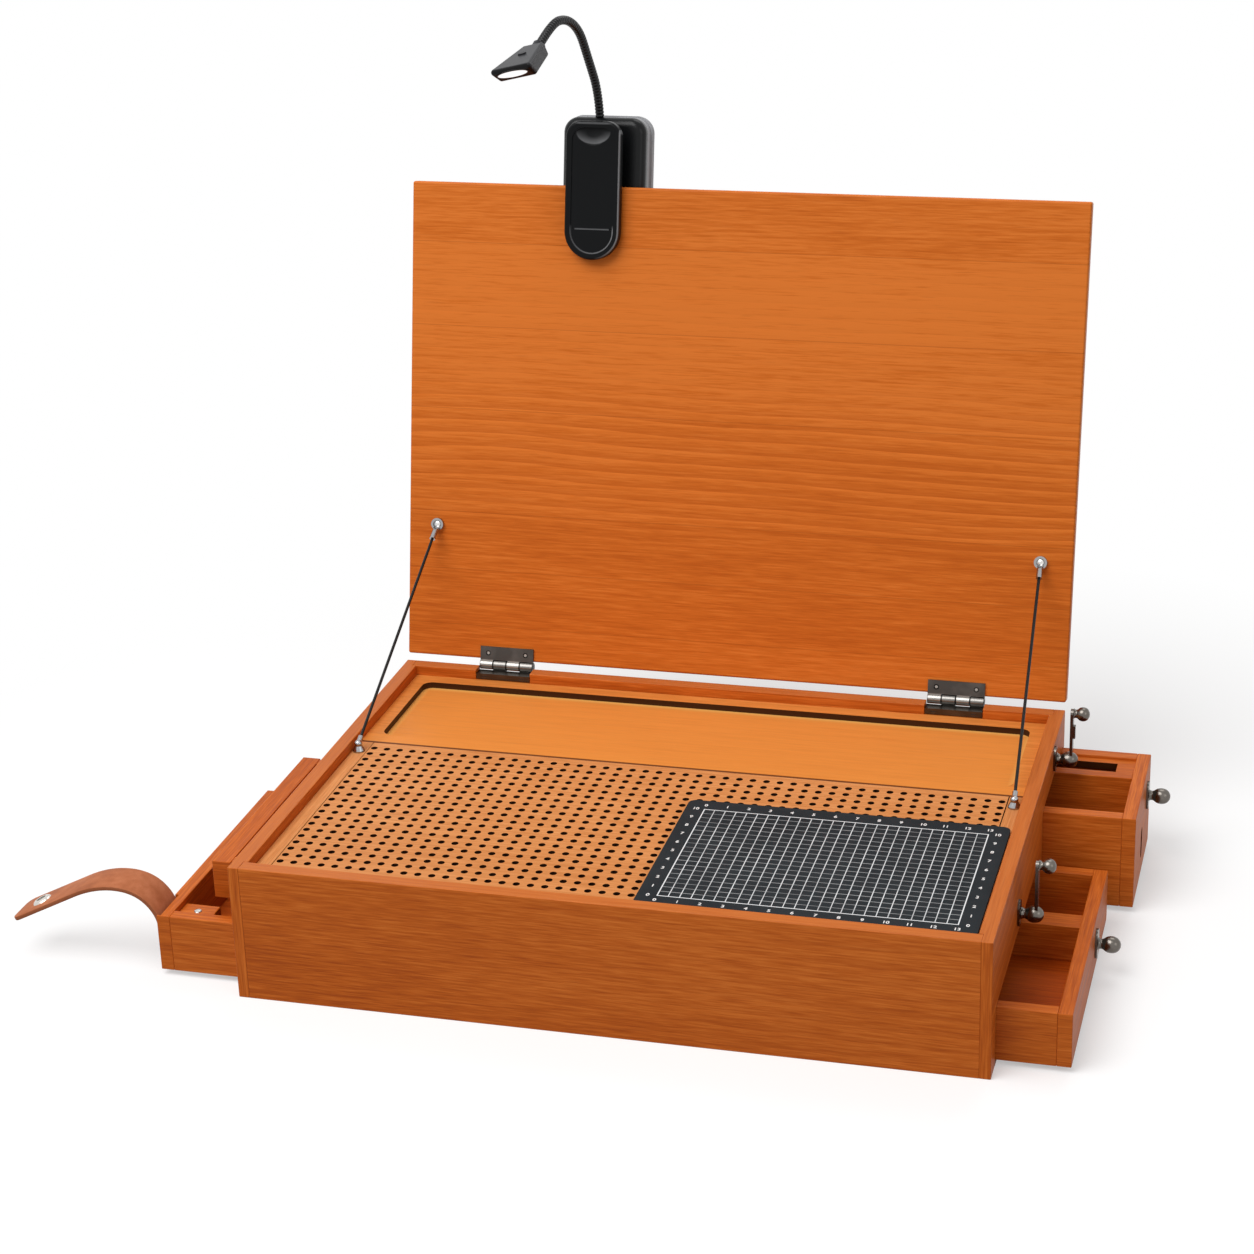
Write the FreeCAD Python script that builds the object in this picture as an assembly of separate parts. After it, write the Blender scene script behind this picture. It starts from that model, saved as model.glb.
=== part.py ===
"""Portable hobby workstation: a wooden case with a hinged lid, side drawers and a clip-on lamp.

Millimetres, +Z up, origin at the centre of the case's footprint, front towards -Y.
"""
import FreeCAD, Part
import math
import os

os.makedirs("parts", exist_ok=True)
V = FreeCAD.Vector
X_AXIS = V(1, 0, 0)
Y_AXIS = V(0, 1, 0)
Z_AXIS = V(0, 0, 1)

# Case
CASE_WIDTH = 480.0
CASE_DEPTH = 342.0
CASE_HEIGHT = 92.0
WALL = 10.0
CORNER_LAP = 7.0
BOTTOM_THICK = 3.5
EDGE_EASE = 0.6
SEAM_GAP = 0.6
RUN_GAP = 0.5

# Deck
DECK_DROP = 7.0
DECK_THICK = 9.0
DECK_STRIP_WIDTH = 10.0
BATTEN_WIDTH = 8.0
BATTEN_DEPTH = 5.0
PEG_HOLE_RADIUS = 2.3
PEG_PITCH = 9.2
PEG_SIDE_MARGIN = 0.8
PEG_END_MARGIN = 4.5
TRAY_RECESS_DEPTH = 4.5
TRAY_RECESS_SIDE = 10.5
TRAY_RECESS_FRONT = 14.0
TRAY_RECESS_BACK = 11.5
TRAY_RECESS_RADIUS = 7.0

# Cutting mat
MAT_WIDTH = 210.0
MAT_DEPTH = 148.0
MAT_THICK = 2.5
MAT_SIDE_GAP = 2.0
MAT_FRONT_GAP = 4.0
MAT_RADIUS = 5.0

# Inner frame
PARTITION = 8.0
GUIDE_WIDTH = 6.5
GUIDE_HEIGHT = 14.0
SHELF_THICK = 5.0
SHELF_CLEAR = 2.5

# Drawers, shares are of the inner depth, of the case's height or of the drawer's own width
DRAWER_BOARD = 9.0
DRAWER_PLY = 3.0
PLY_GROOVE = 4.0
PLY_LIFT = 3.0
PLY_PLAY = 0.1
STOP_GAP = 1.5
FRONT_BAY_SHARE = 0.593
FRONT_DRAWER_HEIGHT = 36.0
FRONT_DRAWER_OUT = 45.5
FRONT_DIVIDER = 17.0
FRONT_DIVIDER_SHARE = 0.62
FRONT_DIVIDER_DROP = 5.0
FRONT_KNOB_SHARE = 0.65
FRONT_LATCH_SHARE = 0.492
REAR_SIDE_GAP = 19.9
REAR_HEADROOM = 2.5
REAR_DRAWER_OUT = 60.5
REAR_DIVIDER_SHARE = 0.60
REAR_KNOB_SHARE = 0.77
REAR_KNOB_DROP = 19.5
REAR_LATCH_SHARE = 0.532
FINGER_SLOT_SHARE = 0.473
FINGER_SLOT_LIFT = 24.0
FINGER_SLOT_WIDTH = 9.0
FINGER_SLOT_HEIGHT = 22.0
INSERT_DROP = 2.0
INSERT_THICK = 5.0
INSERT_EDGE = 2.0
INSERT_SLOT_WIDTH = 15.0
INSERT_SLOT_END = 12.0
LOWER_DRAWER_SHARE = 0.424
LOWER_DRAWER_OUT = 60.5
CORNER_BLOCK_X = 24.0
CORNER_BLOCK_Y = 18.0
CORNER_BLOCK_DROP = 4.0
TRAY_OUT = 19.4
TRAY_HEADROOM = 0.8
TRAY_FACE_THICK = 12.8
TRAY_FACE_DROP = 7.0
TRAY_FACE_OVERLAP = 2.0
TRAY_SETBACK = 32.0
TRAY_BOARD = 7.0
TRAY_FLOOR_DROP = 6.0
TRAY_FLOOR = 4.0

# Turned knobs and latches, profile points are shares of length and radius
KNOB_PROFILE = ((0.0, 0.80), (0.09, 0.62), (0.20, 0.62), (0.34, 0.86), (0.50, 1.0), (0.70, 0.98),
                (0.86, 0.80), (0.96, 0.48), (1.0, 0.22))
KNOB_RADIUS = 5.3
KNOB_LENGTH = 14.2
PLATE_THICK = 1.5
KNOB_PLATE_WIDTH = 12.0
KNOB_PLATE_HEIGHT = 20.0
LATCH_PLATE_WIDTH = 10.0
LATCH_PLATE_HEIGHT = 18.0
LATCH_SCREW_EDGE = 3.4
LATCH_POST_RADIUS = 2.3
LATCH_POST_LENGTH = 11.0
LATCH_HUB_GAP = 0.4
LATCH_HUB_LENGTH = 14.0
LATCH_LEVER_WIDTH = 6.4
LATCH_LEVER_THICK = 2.0
LATCH_LEVER_LENGTH = 34.0
LATCH_LEVER_SETBACK = 5.6
LATCH_TOOTH_LENGTH = 9.0
LATCH_TOOTH_DROP = 17.0
LATCH_TOOTH_THICK = 1.6
THUMB_RADIUS = 4.7
THUMB_LENGTH = 10.5
FRONT_LATCH_LIFT = 14.5
REAR_LATCH_LIFT = 13.5
PIVOT_PLAY = 0.05

# Leather strap
STRAP_WIDTH = 28.0
STRAP_THICK = 2.8
STRAP_EDGE = 1.5
STRAP_ROOT_LIFT = 12.0
STRAP_ROOT = 14.0
STRAP_RISE_RADIUS = 28.0
STRAP_RISE_TURN = 90.0
STRAP_FALL_RADIUS = 70.0
STRAP_FALL_TURN = 27.0
STRAP_RUN = 52.0
STRAP_TIP_RADIUS = 6.5
STRAP_SCREW_SHARES = (0.27, 0.73)
SNAP_RADIUS = 6.5
SNAP_SHOULDER = 6.0
SNAP_CROWN = 4.9
SNAP_BORE = 3.4
SNAP_RISE = 1.6
SNAP_POST_RISE = 0.5
SNAP_SETBACK = 19.0

# Lid and hinges
LID_THICK = 10.0
LID_EASE = 1.6
LID_LEAN = 12.0
LID_SEAT_GAP = 0.4
LID_OVERHANG = 2.5
HINGE_SETBACK = 1.5
HINGE_GAP = 4.0
HINGE_INSET = 76.0
HINGE_WIDTH = 40.0
HINGE_KNUCKLES = 4
KNUCKLE_RADIUS = 3.6
KNUCKLE_SINK = 1.0
KNUCKLE_GAP = 0.3
HINGE_PIN_RADIUS = 1.6
HINGE_PIN_FIT = 0.02
LEAF_THICK = 1.4
LID_LEAF_HEIGHT = 13.5
HINGE_SCREW_EDGE = 6.0

# Screws
SCREW_RADIUS = 1.3
SCREW_HEAD_RADIUS = 2.6
SCREW_HEAD_RISE = 1.0
SCREW_SHOULDER_RISE = 0.6
SCREW_SHOULDER_RADIUS = 2.2
SCREW_CROWN_RADIUS = 1.0
SCREW_LENGTH = 7.0
FLUSH_RADIUS = 1.0
FLUSH_HEAD_RADIUS = 1.9
FLUSH_HEAD_DEPTH = 0.9
FLUSH_SLOT_WIDTH = 0.6
FLUSH_SLOT_DEPTH = 0.45

# Stay cables
STAY_LID_INSET = 22.0
STAY_LID_UP = 97.0
STAY_DECK_SETBACK = 16.0
CABLE_RADIUS = 1.25
EYE_RADIUS = 4.5
EYE_THICK = 3.0
EYE_BORE = 3.0
SLEEVE_RADIUS = 2.1
SLEEVE_LENGTH = 14.0
FERRULE_PROFILE = ((0.0, 4.1), (1.2, 4.1), (2.2, 3.6), (4.2, 2.5), (5.6, 2.1))
FERRULE_BALL_RADIUS = 2.7
FERRULE_PLUG_RADIUS = 3.2
FERRULE_SINK = 4.0
FERRULE_NOSE_RADIUS = 1.8
FERRULE_NOSE_LENGTH = 6.0

# Clip-on lamp, reaches are from the lid's top edge
LAMP_SHARE = 0.4375
JAW_WIDTH = 39.6
JAW_REACH_DOWN = 50.6
JAW_REACH_UP = 45.2
JAW_TOP_RADIUS = 11.0
JAW_THICK = 6.8
JAW_EASE = 1.8
JAW_STANDOFF = 2.2
JAW_PAD_GAP = 0.3
JAW_PAD_WIDTH = 28.0
JAW_PAD_LENGTH = 18.0
JAW_PAD_LIFT = 10.0
JAW_PANEL_INSET = 4.6
JAW_PANEL_SINK = 0.7
JAW_SCOOP_RADIUS = 40.0
JAW_SCOOP_DEPTH = 2.8
JAW_SCOOP_DROP = 4.0
JAW_LINE_LIFT = 21.0
JAW_LINE_HEIGHT = 0.8
JAW_LINE_DEPTH = 0.5
CLIP_PIN_RADIUS = 1.5
CLIP_PIN_ABOVE_LID = 15.0
CLIP_PIN_BEHIND = 3.0
CLIP_LUG_RADIUS = 4.5
CLIP_LUG_WIDTH = 16.0
CLIP_EAR_WIDTH = 7.0
CLIP_EAR_GAP = 0.5
HOUSING_WIDTH = 60.0
HOUSING_OFFSET_X = 2.0
HOUSING_REACH_DOWN = 24.0
HOUSING_REACH_UP = 47.8
HOUSING_THICK = 17.0
HOUSING_RADIUS = 11.0
HOUSING_EASE = 6.0
HOUSING_GAP = 0.3
REAR_COVER_THICK = 9.0
REAR_COVER_GROW = 1.2
REAR_COVER_EASE = 4.0
NECK_RADIUS = 3.1
NECK_PLAY = 0.3
NECK_GROOVE = 0.45
NECK_RIB_PITCH = 2.4
NECK_RIB_SHARES = (0.25, 0.65, 0.9)
NECK_OFFSET_X = -2.5
NECK_BASE_DEPTH = 6.5
NECK_SINK = 7.0
NECK_HEADING = (-0.199, -0.980)
NECK_RISE_RADIUS = 64.0
NECK_RISE_TURN = 28.0
NECK_RUN = 29.5
NECK_BEND_RADIUS = 38.4
NECK_BEND_TURN = 94.0
NECK_END_RUN = 15.0
HEAD_POINT = (-0.216, -0.933, -0.287)
HEAD_ACROSS = (0.925, -0.289, 0.245)
HEAD_BACK_WIDTH = 17.0
HEAD_FRONT_WIDTH = 35.5
HEAD_LENGTH = 37.0
HEAD_THICK = 10.5
HEAD_NOSE_SLOPE = 6.5
HEAD_EASE = 2.3
COLLAR_RADIUS = 4.4
COLLAR_LENGTH = 5.0
SOCKET_LENGTH = 10.0
LENS_WIDTH = 28.0
LENS_HEIGHT = 7.6
LENS_DEPTH = 1.6
LENS_RISE = 0.4
SWITCH_LENGTH = 6.4
SWITCH_WIDTH = 2.6
SWITCH_RISE = 1.0
SWITCH_DEPTH = 2.6
SWITCH_GAP = 0.3
SWITCH_BACK = 16.0

# How near two values must be to count as the same place
TOUCH = 0.01
ALONG = 0.9

# Places worked out from the sizes above
HALF_W = CASE_WIDTH / 2
HALF_D = CASE_DEPTH / 2
IN_X = HALF_W - WALL
IN_Y = HALF_D - WALL
DECK_TOP = CASE_HEIGHT - DECK_DROP
DECK_UNDER = DECK_TOP - DECK_THICK
BATTEN_UNDER = DECK_UNDER - BATTEN_DEPTH
DRAWER_Z = BOTTOM_THICK + RUN_GAP
FLOOR_Z = DRAWER_Z + PLY_LIFT + DRAWER_PLY + PLY_PLAY
FRONT_Y0 = -IN_Y + GUIDE_WIDTH + RUN_GAP
FRONT_WIDTH = 2 * IN_Y * FRONT_BAY_SHARE
FRONT_Y1 = FRONT_Y0 + FRONT_WIDTH
CROSS_Y0 = FRONT_Y1 + RUN_GAP
CROSS_Y1 = CROSS_Y0 + PARTITION
DECK_SEAM_Y = (CROSS_Y0 + CROSS_Y1) / 2
REAR_Y0 = FRONT_Y1 + REAR_SIDE_GAP
REAR_Y1 = IN_Y - RUN_GAP
REAR_WIDTH = REAR_Y1 - REAR_Y0
DRAWER_DEPTH = HALF_W - PARTITION / 2 - STOP_GAP
FRONT_TOP = DRAWER_Z + FRONT_DRAWER_HEIGHT
REAR_TOP = BATTEN_UNDER - REAR_HEADROOM
LOWER_TOP = DRAWER_Z + CASE_HEIGHT * LOWER_DRAWER_SHARE
SHELF_Z = LOWER_TOP + SHELF_CLEAR
SHELF_TOP = SHELF_Z + SHELF_THICK
TRAY_Z = SHELF_TOP + RUN_GAP
TRAY_TOP = BATTEN_UNDER - TRAY_HEADROOM
TRAY_Y0 = FRONT_Y0 + TRAY_SETBACK
TRAY_Y1 = FRONT_Y1
FRONT_LATCH = (FRONT_Y0 + FRONT_WIDTH * FRONT_LATCH_SHARE, FRONT_TOP + FRONT_LATCH_LIFT)
REAR_LATCH = (REAR_Y0 + REAR_WIDTH * REAR_LATCH_SHARE, REAR_TOP + REAR_LATCH_LIFT)
LATCH_FOOT = HALF_W + PLATE_THICK
LATCH_LEVER_X = LATCH_FOOT + LATCH_HUB_GAP + LATCH_HUB_LENGTH - LATCH_LEVER_SETBACK
HINGE_X = HALF_W - HINGE_INSET
HINGE_SCREW_X = HINGE_WIDTH / 2 - HINGE_SCREW_EDGE
HINGE_Y = HALF_D + HINGE_SETBACK
HINGE_Z = CASE_HEIGHT + LID_SEAT_GAP
LID_LENGTH = CASE_DEPTH + HINGE_SETBACK - HINGE_GAP + LID_OVERHANG
LID_TOP = HINGE_GAP + LID_LENGTH
KNUCKLE_LENGTH = HINGE_WIDTH / HINGE_KNUCKLES
NOTCH_Z = HINGE_Z - KNUCKLE_RADIUS + KNUCKLE_SINK - LEAF_THICK
LID_PLACE = FreeCAD.Placement(V(0, HINGE_Y, HINGE_Z), FreeCAD.Rotation(X_AXIS, -LID_LEAN))
STAY_LID_X = HALF_W - STAY_LID_INSET
STAY_DECK_X = IN_X - DECK_STRIP_WIDTH / 2
STAY_DECK_Y = DECK_SEAM_Y - STAY_DECK_SETBACK
LAMP_X = -HALF_W * LAMP_SHARE
JAW_LOW = LID_TOP - JAW_REACH_DOWN
JAW_TOP = LID_TOP + JAW_REACH_UP
JAW_BACK = -JAW_STANDOFF
JAW_FRONT = JAW_BACK - JAW_THICK
CLIP_PIN_Z = LID_TOP + CLIP_PIN_ABOVE_LID
HOUSING_Y0 = LID_THICK + HOUSING_GAP
HOUSING_Y1 = HOUSING_Y0 + HOUSING_THICK
HOUSING_TOP = LID_TOP + HOUSING_REACH_UP
NOSE_LEAN = math.atan2(HEAD_NOSE_SLOPE, HEAD_THICK)


# Helpers for boards, turnings, screws and bent runs

def block(x0, x1, y0, y1, z0, z1):
    low = V(min(x0, x1), min(y0, y1), min(z0, z1))
    return Part.makeBox(abs(x1 - x0), abs(y1 - y0), abs(z1 - z0), low)


def board(x0, x1, y0, y1, z0, z1, ease=EDGE_EASE):
    shape = block(x0, x1, y0, y1, z0, z1)
    return shape.makeFillet(ease, shape.Edges)


def rod(radius, start, end):
    return Part.makeCylinder(radius, (end - start).Length, start, end - start)


def rod_x(radius, x0, x1, y, z):
    return rod(radius, V(x0, y, z), V(x1, y, z))


def placed(shape, start, direction):
    """Turn a shape built along +Z onto a direction and move it to start."""
    copy = shape.copy()
    copy.Placement = FreeCAD.Placement(start, FreeCAD.Rotation(Z_AXIS, direction))
    return copy


def moved(shape, place):
    copy = shape.copy()
    copy.Placement = place.multiply(copy.Placement)
    return copy


def on_lid(shape):
    """Carry a shape from the lid's own axes (hinge axis at 0, inner face at y 0) to the open lid."""
    return moved(shape, LID_PLACE)


def spun(edges, first, last, start, direction):
    """Revolve the outline's edges, closed along the axis from first to last, and place the solid."""
    (d0, r0), (d1, r1) = first, last
    closing = [Part.makeLine(V(r1, 0, d1), V(0, 0, d1)), Part.makeLine(V(0, 0, d1), V(0, 0, d0)),
               Part.makeLine(V(0, 0, d0), V(r0, 0, d0))]
    face = Part.Face(Part.Wire(edges + closing))
    return placed(face.revolve(V(0, 0, 0), Z_AXIS, 360), start, direction)


def turned(profile, start, direction):
    """Revolve straight lines through (distance, radius) points."""
    points = [V(radius, 0, distance) for distance, radius in profile]
    edges = [Part.makeLine(a, b) for a, b in zip(points, points[1:])]
    return spun(edges, profile[0], profile[-1], start, direction)


def bulb(length, radius, start, direction):
    """Revolve a smooth curve through the knob profile, scaled to a length and a radius."""
    profile = [(length * along, radius * out) for along, out in KNOB_PROFILE]
    curve = Part.BSplineCurve()
    curve.interpolate([V(out, 0, along) for along, out in profile])
    return spun([curve.toShape()], profile[0], profile[-1], start, direction)


def edges_along(shape, axis):
    return [e for e in shape.Edges if abs(e.tangentAt(e.FirstParameter).dot(axis)) > ALONG]


def edges_at(shape, axis, place):
    return [e for e in shape.Edges if abs(e.CenterOfMass.dot(axis) - place) < TOUCH]


def rounded_plate(x0, x1, y0, y1, z0, thick, radius):
    """A plate lying flat, with rounded corners."""
    plate = block(x0, x1, y0, y1, z0, z0 + thick)
    return plate.makeFillet(radius, edges_along(plate, Z_AXIS))


def stadium_x(width, height, thick, x, y, z):
    """An upright plate with round ends on a face that looks along +X."""
    half = (height - width) / 2
    middle = block(x, x + thick, y - width / 2, y + width / 2, z - half, z + half)
    caps = [rod_x(width / 2, x, x + thick, y, z + end) for end in (-half, half)]
    return middle.fuse(caps).removeSplitter()


def screw_hole(seat, direction, radius=SCREW_RADIUS):
    reach = direction * (SCREW_LENGTH + RUN_GAP)
    return rod(radius + HINGE_PIN_FIT, seat - reach, seat + direction)


def domed_screw(seat, direction):
    """A screw whose domed head stands on seat and points along direction."""
    shank = rod(SCREW_RADIUS, seat - direction * SCREW_LENGTH, seat)
    head = turned(((0, SCREW_HEAD_RADIUS), (SCREW_SHOULDER_RISE, SCREW_SHOULDER_RADIUS),
                   (SCREW_HEAD_RISE, SCREW_CROWN_RADIUS)), seat, direction)
    return shank.fuse(head)


def countersink(grow, seat, direction):
    base = seat - direction * FLUSH_HEAD_DEPTH
    return Part.makeCone(FLUSH_RADIUS + grow, FLUSH_HEAD_RADIUS + grow, FLUSH_HEAD_DEPTH, base, direction)


def flush_screw(seat, direction):
    """A slotted screw whose head lies flush with the plate that it holds."""
    shank = rod(FLUSH_RADIUS, seat - direction * SCREW_LENGTH, seat - direction * FLUSH_HEAD_DEPTH)
    half = FLUSH_SLOT_WIDTH / 2
    slot = block(-SCREW_LENGTH, SCREW_LENGTH, -half, half, -FLUSH_SLOT_DEPTH, FLUSH_SLOT_DEPTH)
    return shank.fuse(countersink(0, seat, direction)).cut(placed(slot, seat, direction))


def flush_holes(seats, direction):
    return [screw_hole(seat, direction, FLUSH_RADIUS) for seat in seats]


def sunk_holes(seats, direction):
    """The holes of flush screws, with their countersinks."""
    return flush_holes(seats, direction) + [countersink(HINGE_PIN_FIT, seat, direction) for seat in seats]


def walk(start, heading, steps):
    """Follow lines and arcs in a plane; gives start, end and arc (centre, radius, side) of each step."""
    point, angle = start, math.radians(heading)
    runs = []
    for step in steps:
        first = (point, angle)
        if step[0] == "line":
            point = (point[0] + step[1] * math.cos(angle), point[1] + step[1] * math.sin(angle))
            runs.append((first, (point, angle), None))
            continue
        radius, turn = step[1], math.radians(step[2])
        side = math.copysign(1.0, turn)
        reach = side * radius
        centre = (point[0] - reach * math.sin(angle), point[1] + reach * math.cos(angle))
        angle += turn
        point = (centre[0] + reach * math.sin(angle), centre[1] - reach * math.cos(angle))
        runs.append((first, (point, angle), (centre, radius, side)))
    return runs


def ribbon_edges(runs, offset, lift):
    """The edges of a walked path, moved sideways by offset; lift turns plane points into space."""
    edges = []
    for (start, angle0), (end, angle1), arc in runs:
        def shifted(point, angle):
            return lift(point[0] - offset * math.sin(angle), point[1] + offset * math.cos(angle))
        if arc is None:
            edges.append(Part.makeLine(shifted(start, angle0), shifted(end, angle1)))
            continue
        centre, radius, side = arc
        middle = (angle0 + angle1) / 2
        reach = side * radius
        point = (centre[0] + reach * math.sin(middle), centre[1] - reach * math.cos(middle))
        bend = Part.Arc(shifted(start, angle0), shifted(point, middle), shifted(end, angle1))
        edges.append(bend.toShape())
    return edges


def save(name, shapes):
    shape = Part.makeCompound(shapes) if isinstance(shapes, list) else shapes
    shape.exportStep("parts/" + name + ".step")


# Case walls and bottom

FRONT_OPENING = (FRONT_Y0 - RUN_GAP, FRONT_Y1 + RUN_GAP, -WALL, FRONT_TOP + RUN_GAP)
REAR_OPENING = (REAR_Y0 - RUN_GAP, REAR_Y1 + RUN_GAP, -WALL, REAR_TOP + RUN_GAP)
LOWER_OPENING = (FRONT_Y0 - RUN_GAP, FRONT_Y1 + RUN_GAP, -WALL, LOWER_TOP + RUN_GAP)
TRAY_OPENING = (TRAY_Y0 - RUN_GAP, TRAY_Y1 + RUN_GAP, SHELF_TOP, TRAY_TOP + RUN_GAP)


def hinge_cuts():
    """Notches for the hinge leaves' plates and rebates for their flanges, in the back wall."""
    reach = HINGE_WIDTH / 2 + RUN_GAP
    cuts = []
    for side in (-1, 1):
        x0 = side * HINGE_X - reach
        x1 = side * HINGE_X + reach
        cuts.append(block(x0, x1, IN_Y - WALL, HALF_D + WALL, NOTCH_Z, CASE_HEIGHT + WALL))
        cuts.append(block(x0, x1, IN_Y - RUN_GAP, IN_Y + LEAF_THICK, DECK_TOP, CASE_HEIGHT))
    return cuts


def end_wall(side):
    reach = HALF_W - CORNER_LAP
    return board(-reach, reach, side * IN_Y, side * HALF_D, 0, CASE_HEIGHT)


def side_wall(side, openings):
    wall = board(side * IN_X, side * HALF_W, -HALF_D, HALF_D, 0, CASE_HEIGHT)
    inner = side * (IN_X - WALL)
    cuts = [block(inner, side * (HALF_W + WALL), *opening) for opening in openings]
    for end in (-1, 1):
        cuts.append(block(inner, side * (HALF_W - CORNER_LAP), end * IN_Y, end * (HALF_D + WALL), -WALL,
                          CASE_HEIGHT + WALL))
    return wall.cut(cuts)


def bottom_panel():
    panel = block(-IN_X, IN_X, -IN_Y, IN_Y, 0, BOTTOM_THICK)
    sills = []
    for side, opening in ((1, FRONT_OPENING), (1, REAR_OPENING), (-1, LOWER_OPENING)):
        sills.append(block(side * IN_X, side * HALF_W, opening[0], opening[1], 0, BOTTOM_THICK))
    return panel.fuse(sills).removeSplitter()


def latch_screw_seats(latch):
    y, z = latch
    drop = LATCH_PLATE_HEIGHT / 2 - LATCH_SCREW_EDGE
    return [V(LATCH_FOOT, y, z + end * drop) for end in (-1, 1)]


def case_leaf_screw_seats(centre):
    z = (DECK_TOP + SEAM_GAP + NOTCH_Z + LEAF_THICK) / 2
    return [V(centre + end * HINGE_SCREW_X, IN_Y, z) for end in (-1, 1)]


def case():
    leaf_seats = case_leaf_screw_seats(-HINGE_X) + case_leaf_screw_seats(HINGE_X)
    latch_seats = latch_screw_seats(FRONT_LATCH) + latch_screw_seats(REAR_LATCH)
    save("front_wall", end_wall(-1))
    save("back_wall", end_wall(1).cut(hinge_cuts() + flush_holes(leaf_seats, -Y_AXIS)))
    save("left_wall", side_wall(-1, [LOWER_OPENING, TRAY_OPENING]))
    right = side_wall(1, [FRONT_OPENING, REAR_OPENING])
    save("right_wall", right.cut(flush_holes(latch_seats, X_AXIS)))
    save("bottom_panel", bottom_panel())
    screws = [flush_screw(seat, -Y_AXIS) for seat in leaf_seats]
    save("case_screws", screws + [flush_screw(seat, X_AXIS) for seat in latch_seats])


# Inner frame that carries the deck and guides the drawers

def inner_frame():
    half = PARTITION / 2
    save("centre_partition", [block(-half, half, -IN_Y, CROSS_Y0, BOTTOM_THICK, DECK_UNDER),
                              block(-half, half, CROSS_Y1, IN_Y, BOTTOM_THICK, DECK_UNDER)])
    save("cross_partition", block(-IN_X, IN_X, CROSS_Y0, CROSS_Y1, BOTTOM_THICK, DECK_UNDER))
    save("tray_shelf", block(-IN_X, -half, -IN_Y, CROSS_Y0, SHELF_Z, SHELF_TOP))
    guide_top = BOTTOM_THICK + GUIDE_HEIGHT
    tray_guide = TRAY_Y0 - RUN_GAP
    guides = [block(half, IN_X, -IN_Y, -IN_Y + GUIDE_WIDTH, BOTTOM_THICK, guide_top),
              block(-half, -IN_X, -IN_Y, -IN_Y + GUIDE_WIDTH, BOTTOM_THICK, guide_top),
              block(half, IN_X, CROSS_Y1, REAR_Y0 - RUN_GAP, BOTTOM_THICK, guide_top),
              block(-half, -IN_X, tray_guide - GUIDE_WIDTH, tray_guide, SHELF_TOP, TRAY_TOP)]
    save("drawer_guides", guides)
    battens = []
    for side in (-1, 1):
        inner = side * (IN_X - BATTEN_WIDTH)
        front, back = -IN_Y + BATTEN_WIDTH, IN_Y - BATTEN_WIDTH
        spans = [(side * half, -IN_Y, front), (side * half, back, IN_Y), (inner, front, CROSS_Y0),
                 (inner, CROSS_Y1, back)]
        for x0, y0, y1 in spans:
            battens.append(block(x0, side * IN_X, y0, y1, BATTEN_UNDER, DECK_UNDER))
    save("deck_battens", battens)


# Deck boards and mat

def peg_panel():
    edge = IN_X - DECK_STRIP_WIDTH - SEAM_GAP
    y0 = -IN_Y + SEAM_GAP
    y1 = DECK_SEAM_Y - SEAM_GAP
    outline = Part.makePolygon([V(-edge, y0, DECK_UNDER), V(edge, y0, DECK_UNDER), V(edge, y1, DECK_UNDER),
                                V(-edge, y1, DECK_UNDER), V(-edge, y0, DECK_UNDER)])
    side_room = 2 * (PEG_SIDE_MARGIN + PEG_HOLE_RADIUS)
    end_room = 2 * (PEG_END_MARGIN + PEG_HOLE_RADIUS)
    columns = int((2 * edge - side_room) / PEG_PITCH) + 1
    rows = int((y1 - y0 - end_room) / PEG_PITCH) + 1
    first_x = -(columns - 1) * PEG_PITCH / 2
    first_y = (y0 + y1 - (rows - 1) * PEG_PITCH) / 2
    holes = []
    for column in range(columns):
        for row in range(rows):
            centre = V(first_x + column * PEG_PITCH, first_y + row * PEG_PITCH, DECK_UNDER)
            holes.append(Part.Wire(Part.makeCircle(PEG_HOLE_RADIUS, centre, Z_AXIS)))
    face = Part.Face([outline] + holes)
    face.validate()
    return face.extrude(V(0, 0, DECK_THICK))


def deck():
    save("peg_panel", peg_panel())
    tray = board(-IN_X, IN_X, DECK_SEAM_Y, IN_Y, DECK_UNDER, DECK_TOP)
    recess_x = IN_X - TRAY_RECESS_SIDE
    recess = rounded_plate(-recess_x, recess_x, DECK_SEAM_Y + TRAY_RECESS_FRONT, IN_Y - TRAY_RECESS_BACK,
                           DECK_TOP - TRAY_RECESS_DEPTH, DECK_THICK, TRAY_RECESS_RADIUS)
    save("rear_tray_board", tray.cut(recess))
    strips = []
    for side in (-1, 1):
        inner = side * (IN_X - DECK_STRIP_WIDTH)
        strip = board(inner, side * IN_X, -IN_Y, DECK_SEAM_Y, DECK_UNDER, DECK_TOP)
        foot = V(side * STAY_DECK_X, STAY_DECK_Y, DECK_TOP)
        hole = rod(FERRULE_PLUG_RADIUS + HINGE_PIN_FIT, foot - Z_AXIS * FERRULE_SINK, foot + Z_AXIS)
        strips.append(strip.cut(hole))
    save("deck_strips", strips)
    right = IN_X - MAT_SIDE_GAP
    front = -IN_Y + MAT_FRONT_GAP
    left, back = right - MAT_WIDTH, front + MAT_DEPTH
    save("cutting_mat", rounded_plate(left, right, front, back, DECK_TOP, MAT_THICK, MAT_RADIUS))


# Drawers

def knob(x, y, z):
    """A turned knob on an oval plate, pointing along +X from a face at x."""
    plate = stadium_x(KNOB_PLATE_WIDTH, KNOB_PLATE_HEIGHT, PLATE_THICK, x, y, z)
    return [plate, bulb(KNOB_LENGTH, KNOB_RADIUS, V(x + PLATE_THICK, y, z), X_AXIS)]


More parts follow.
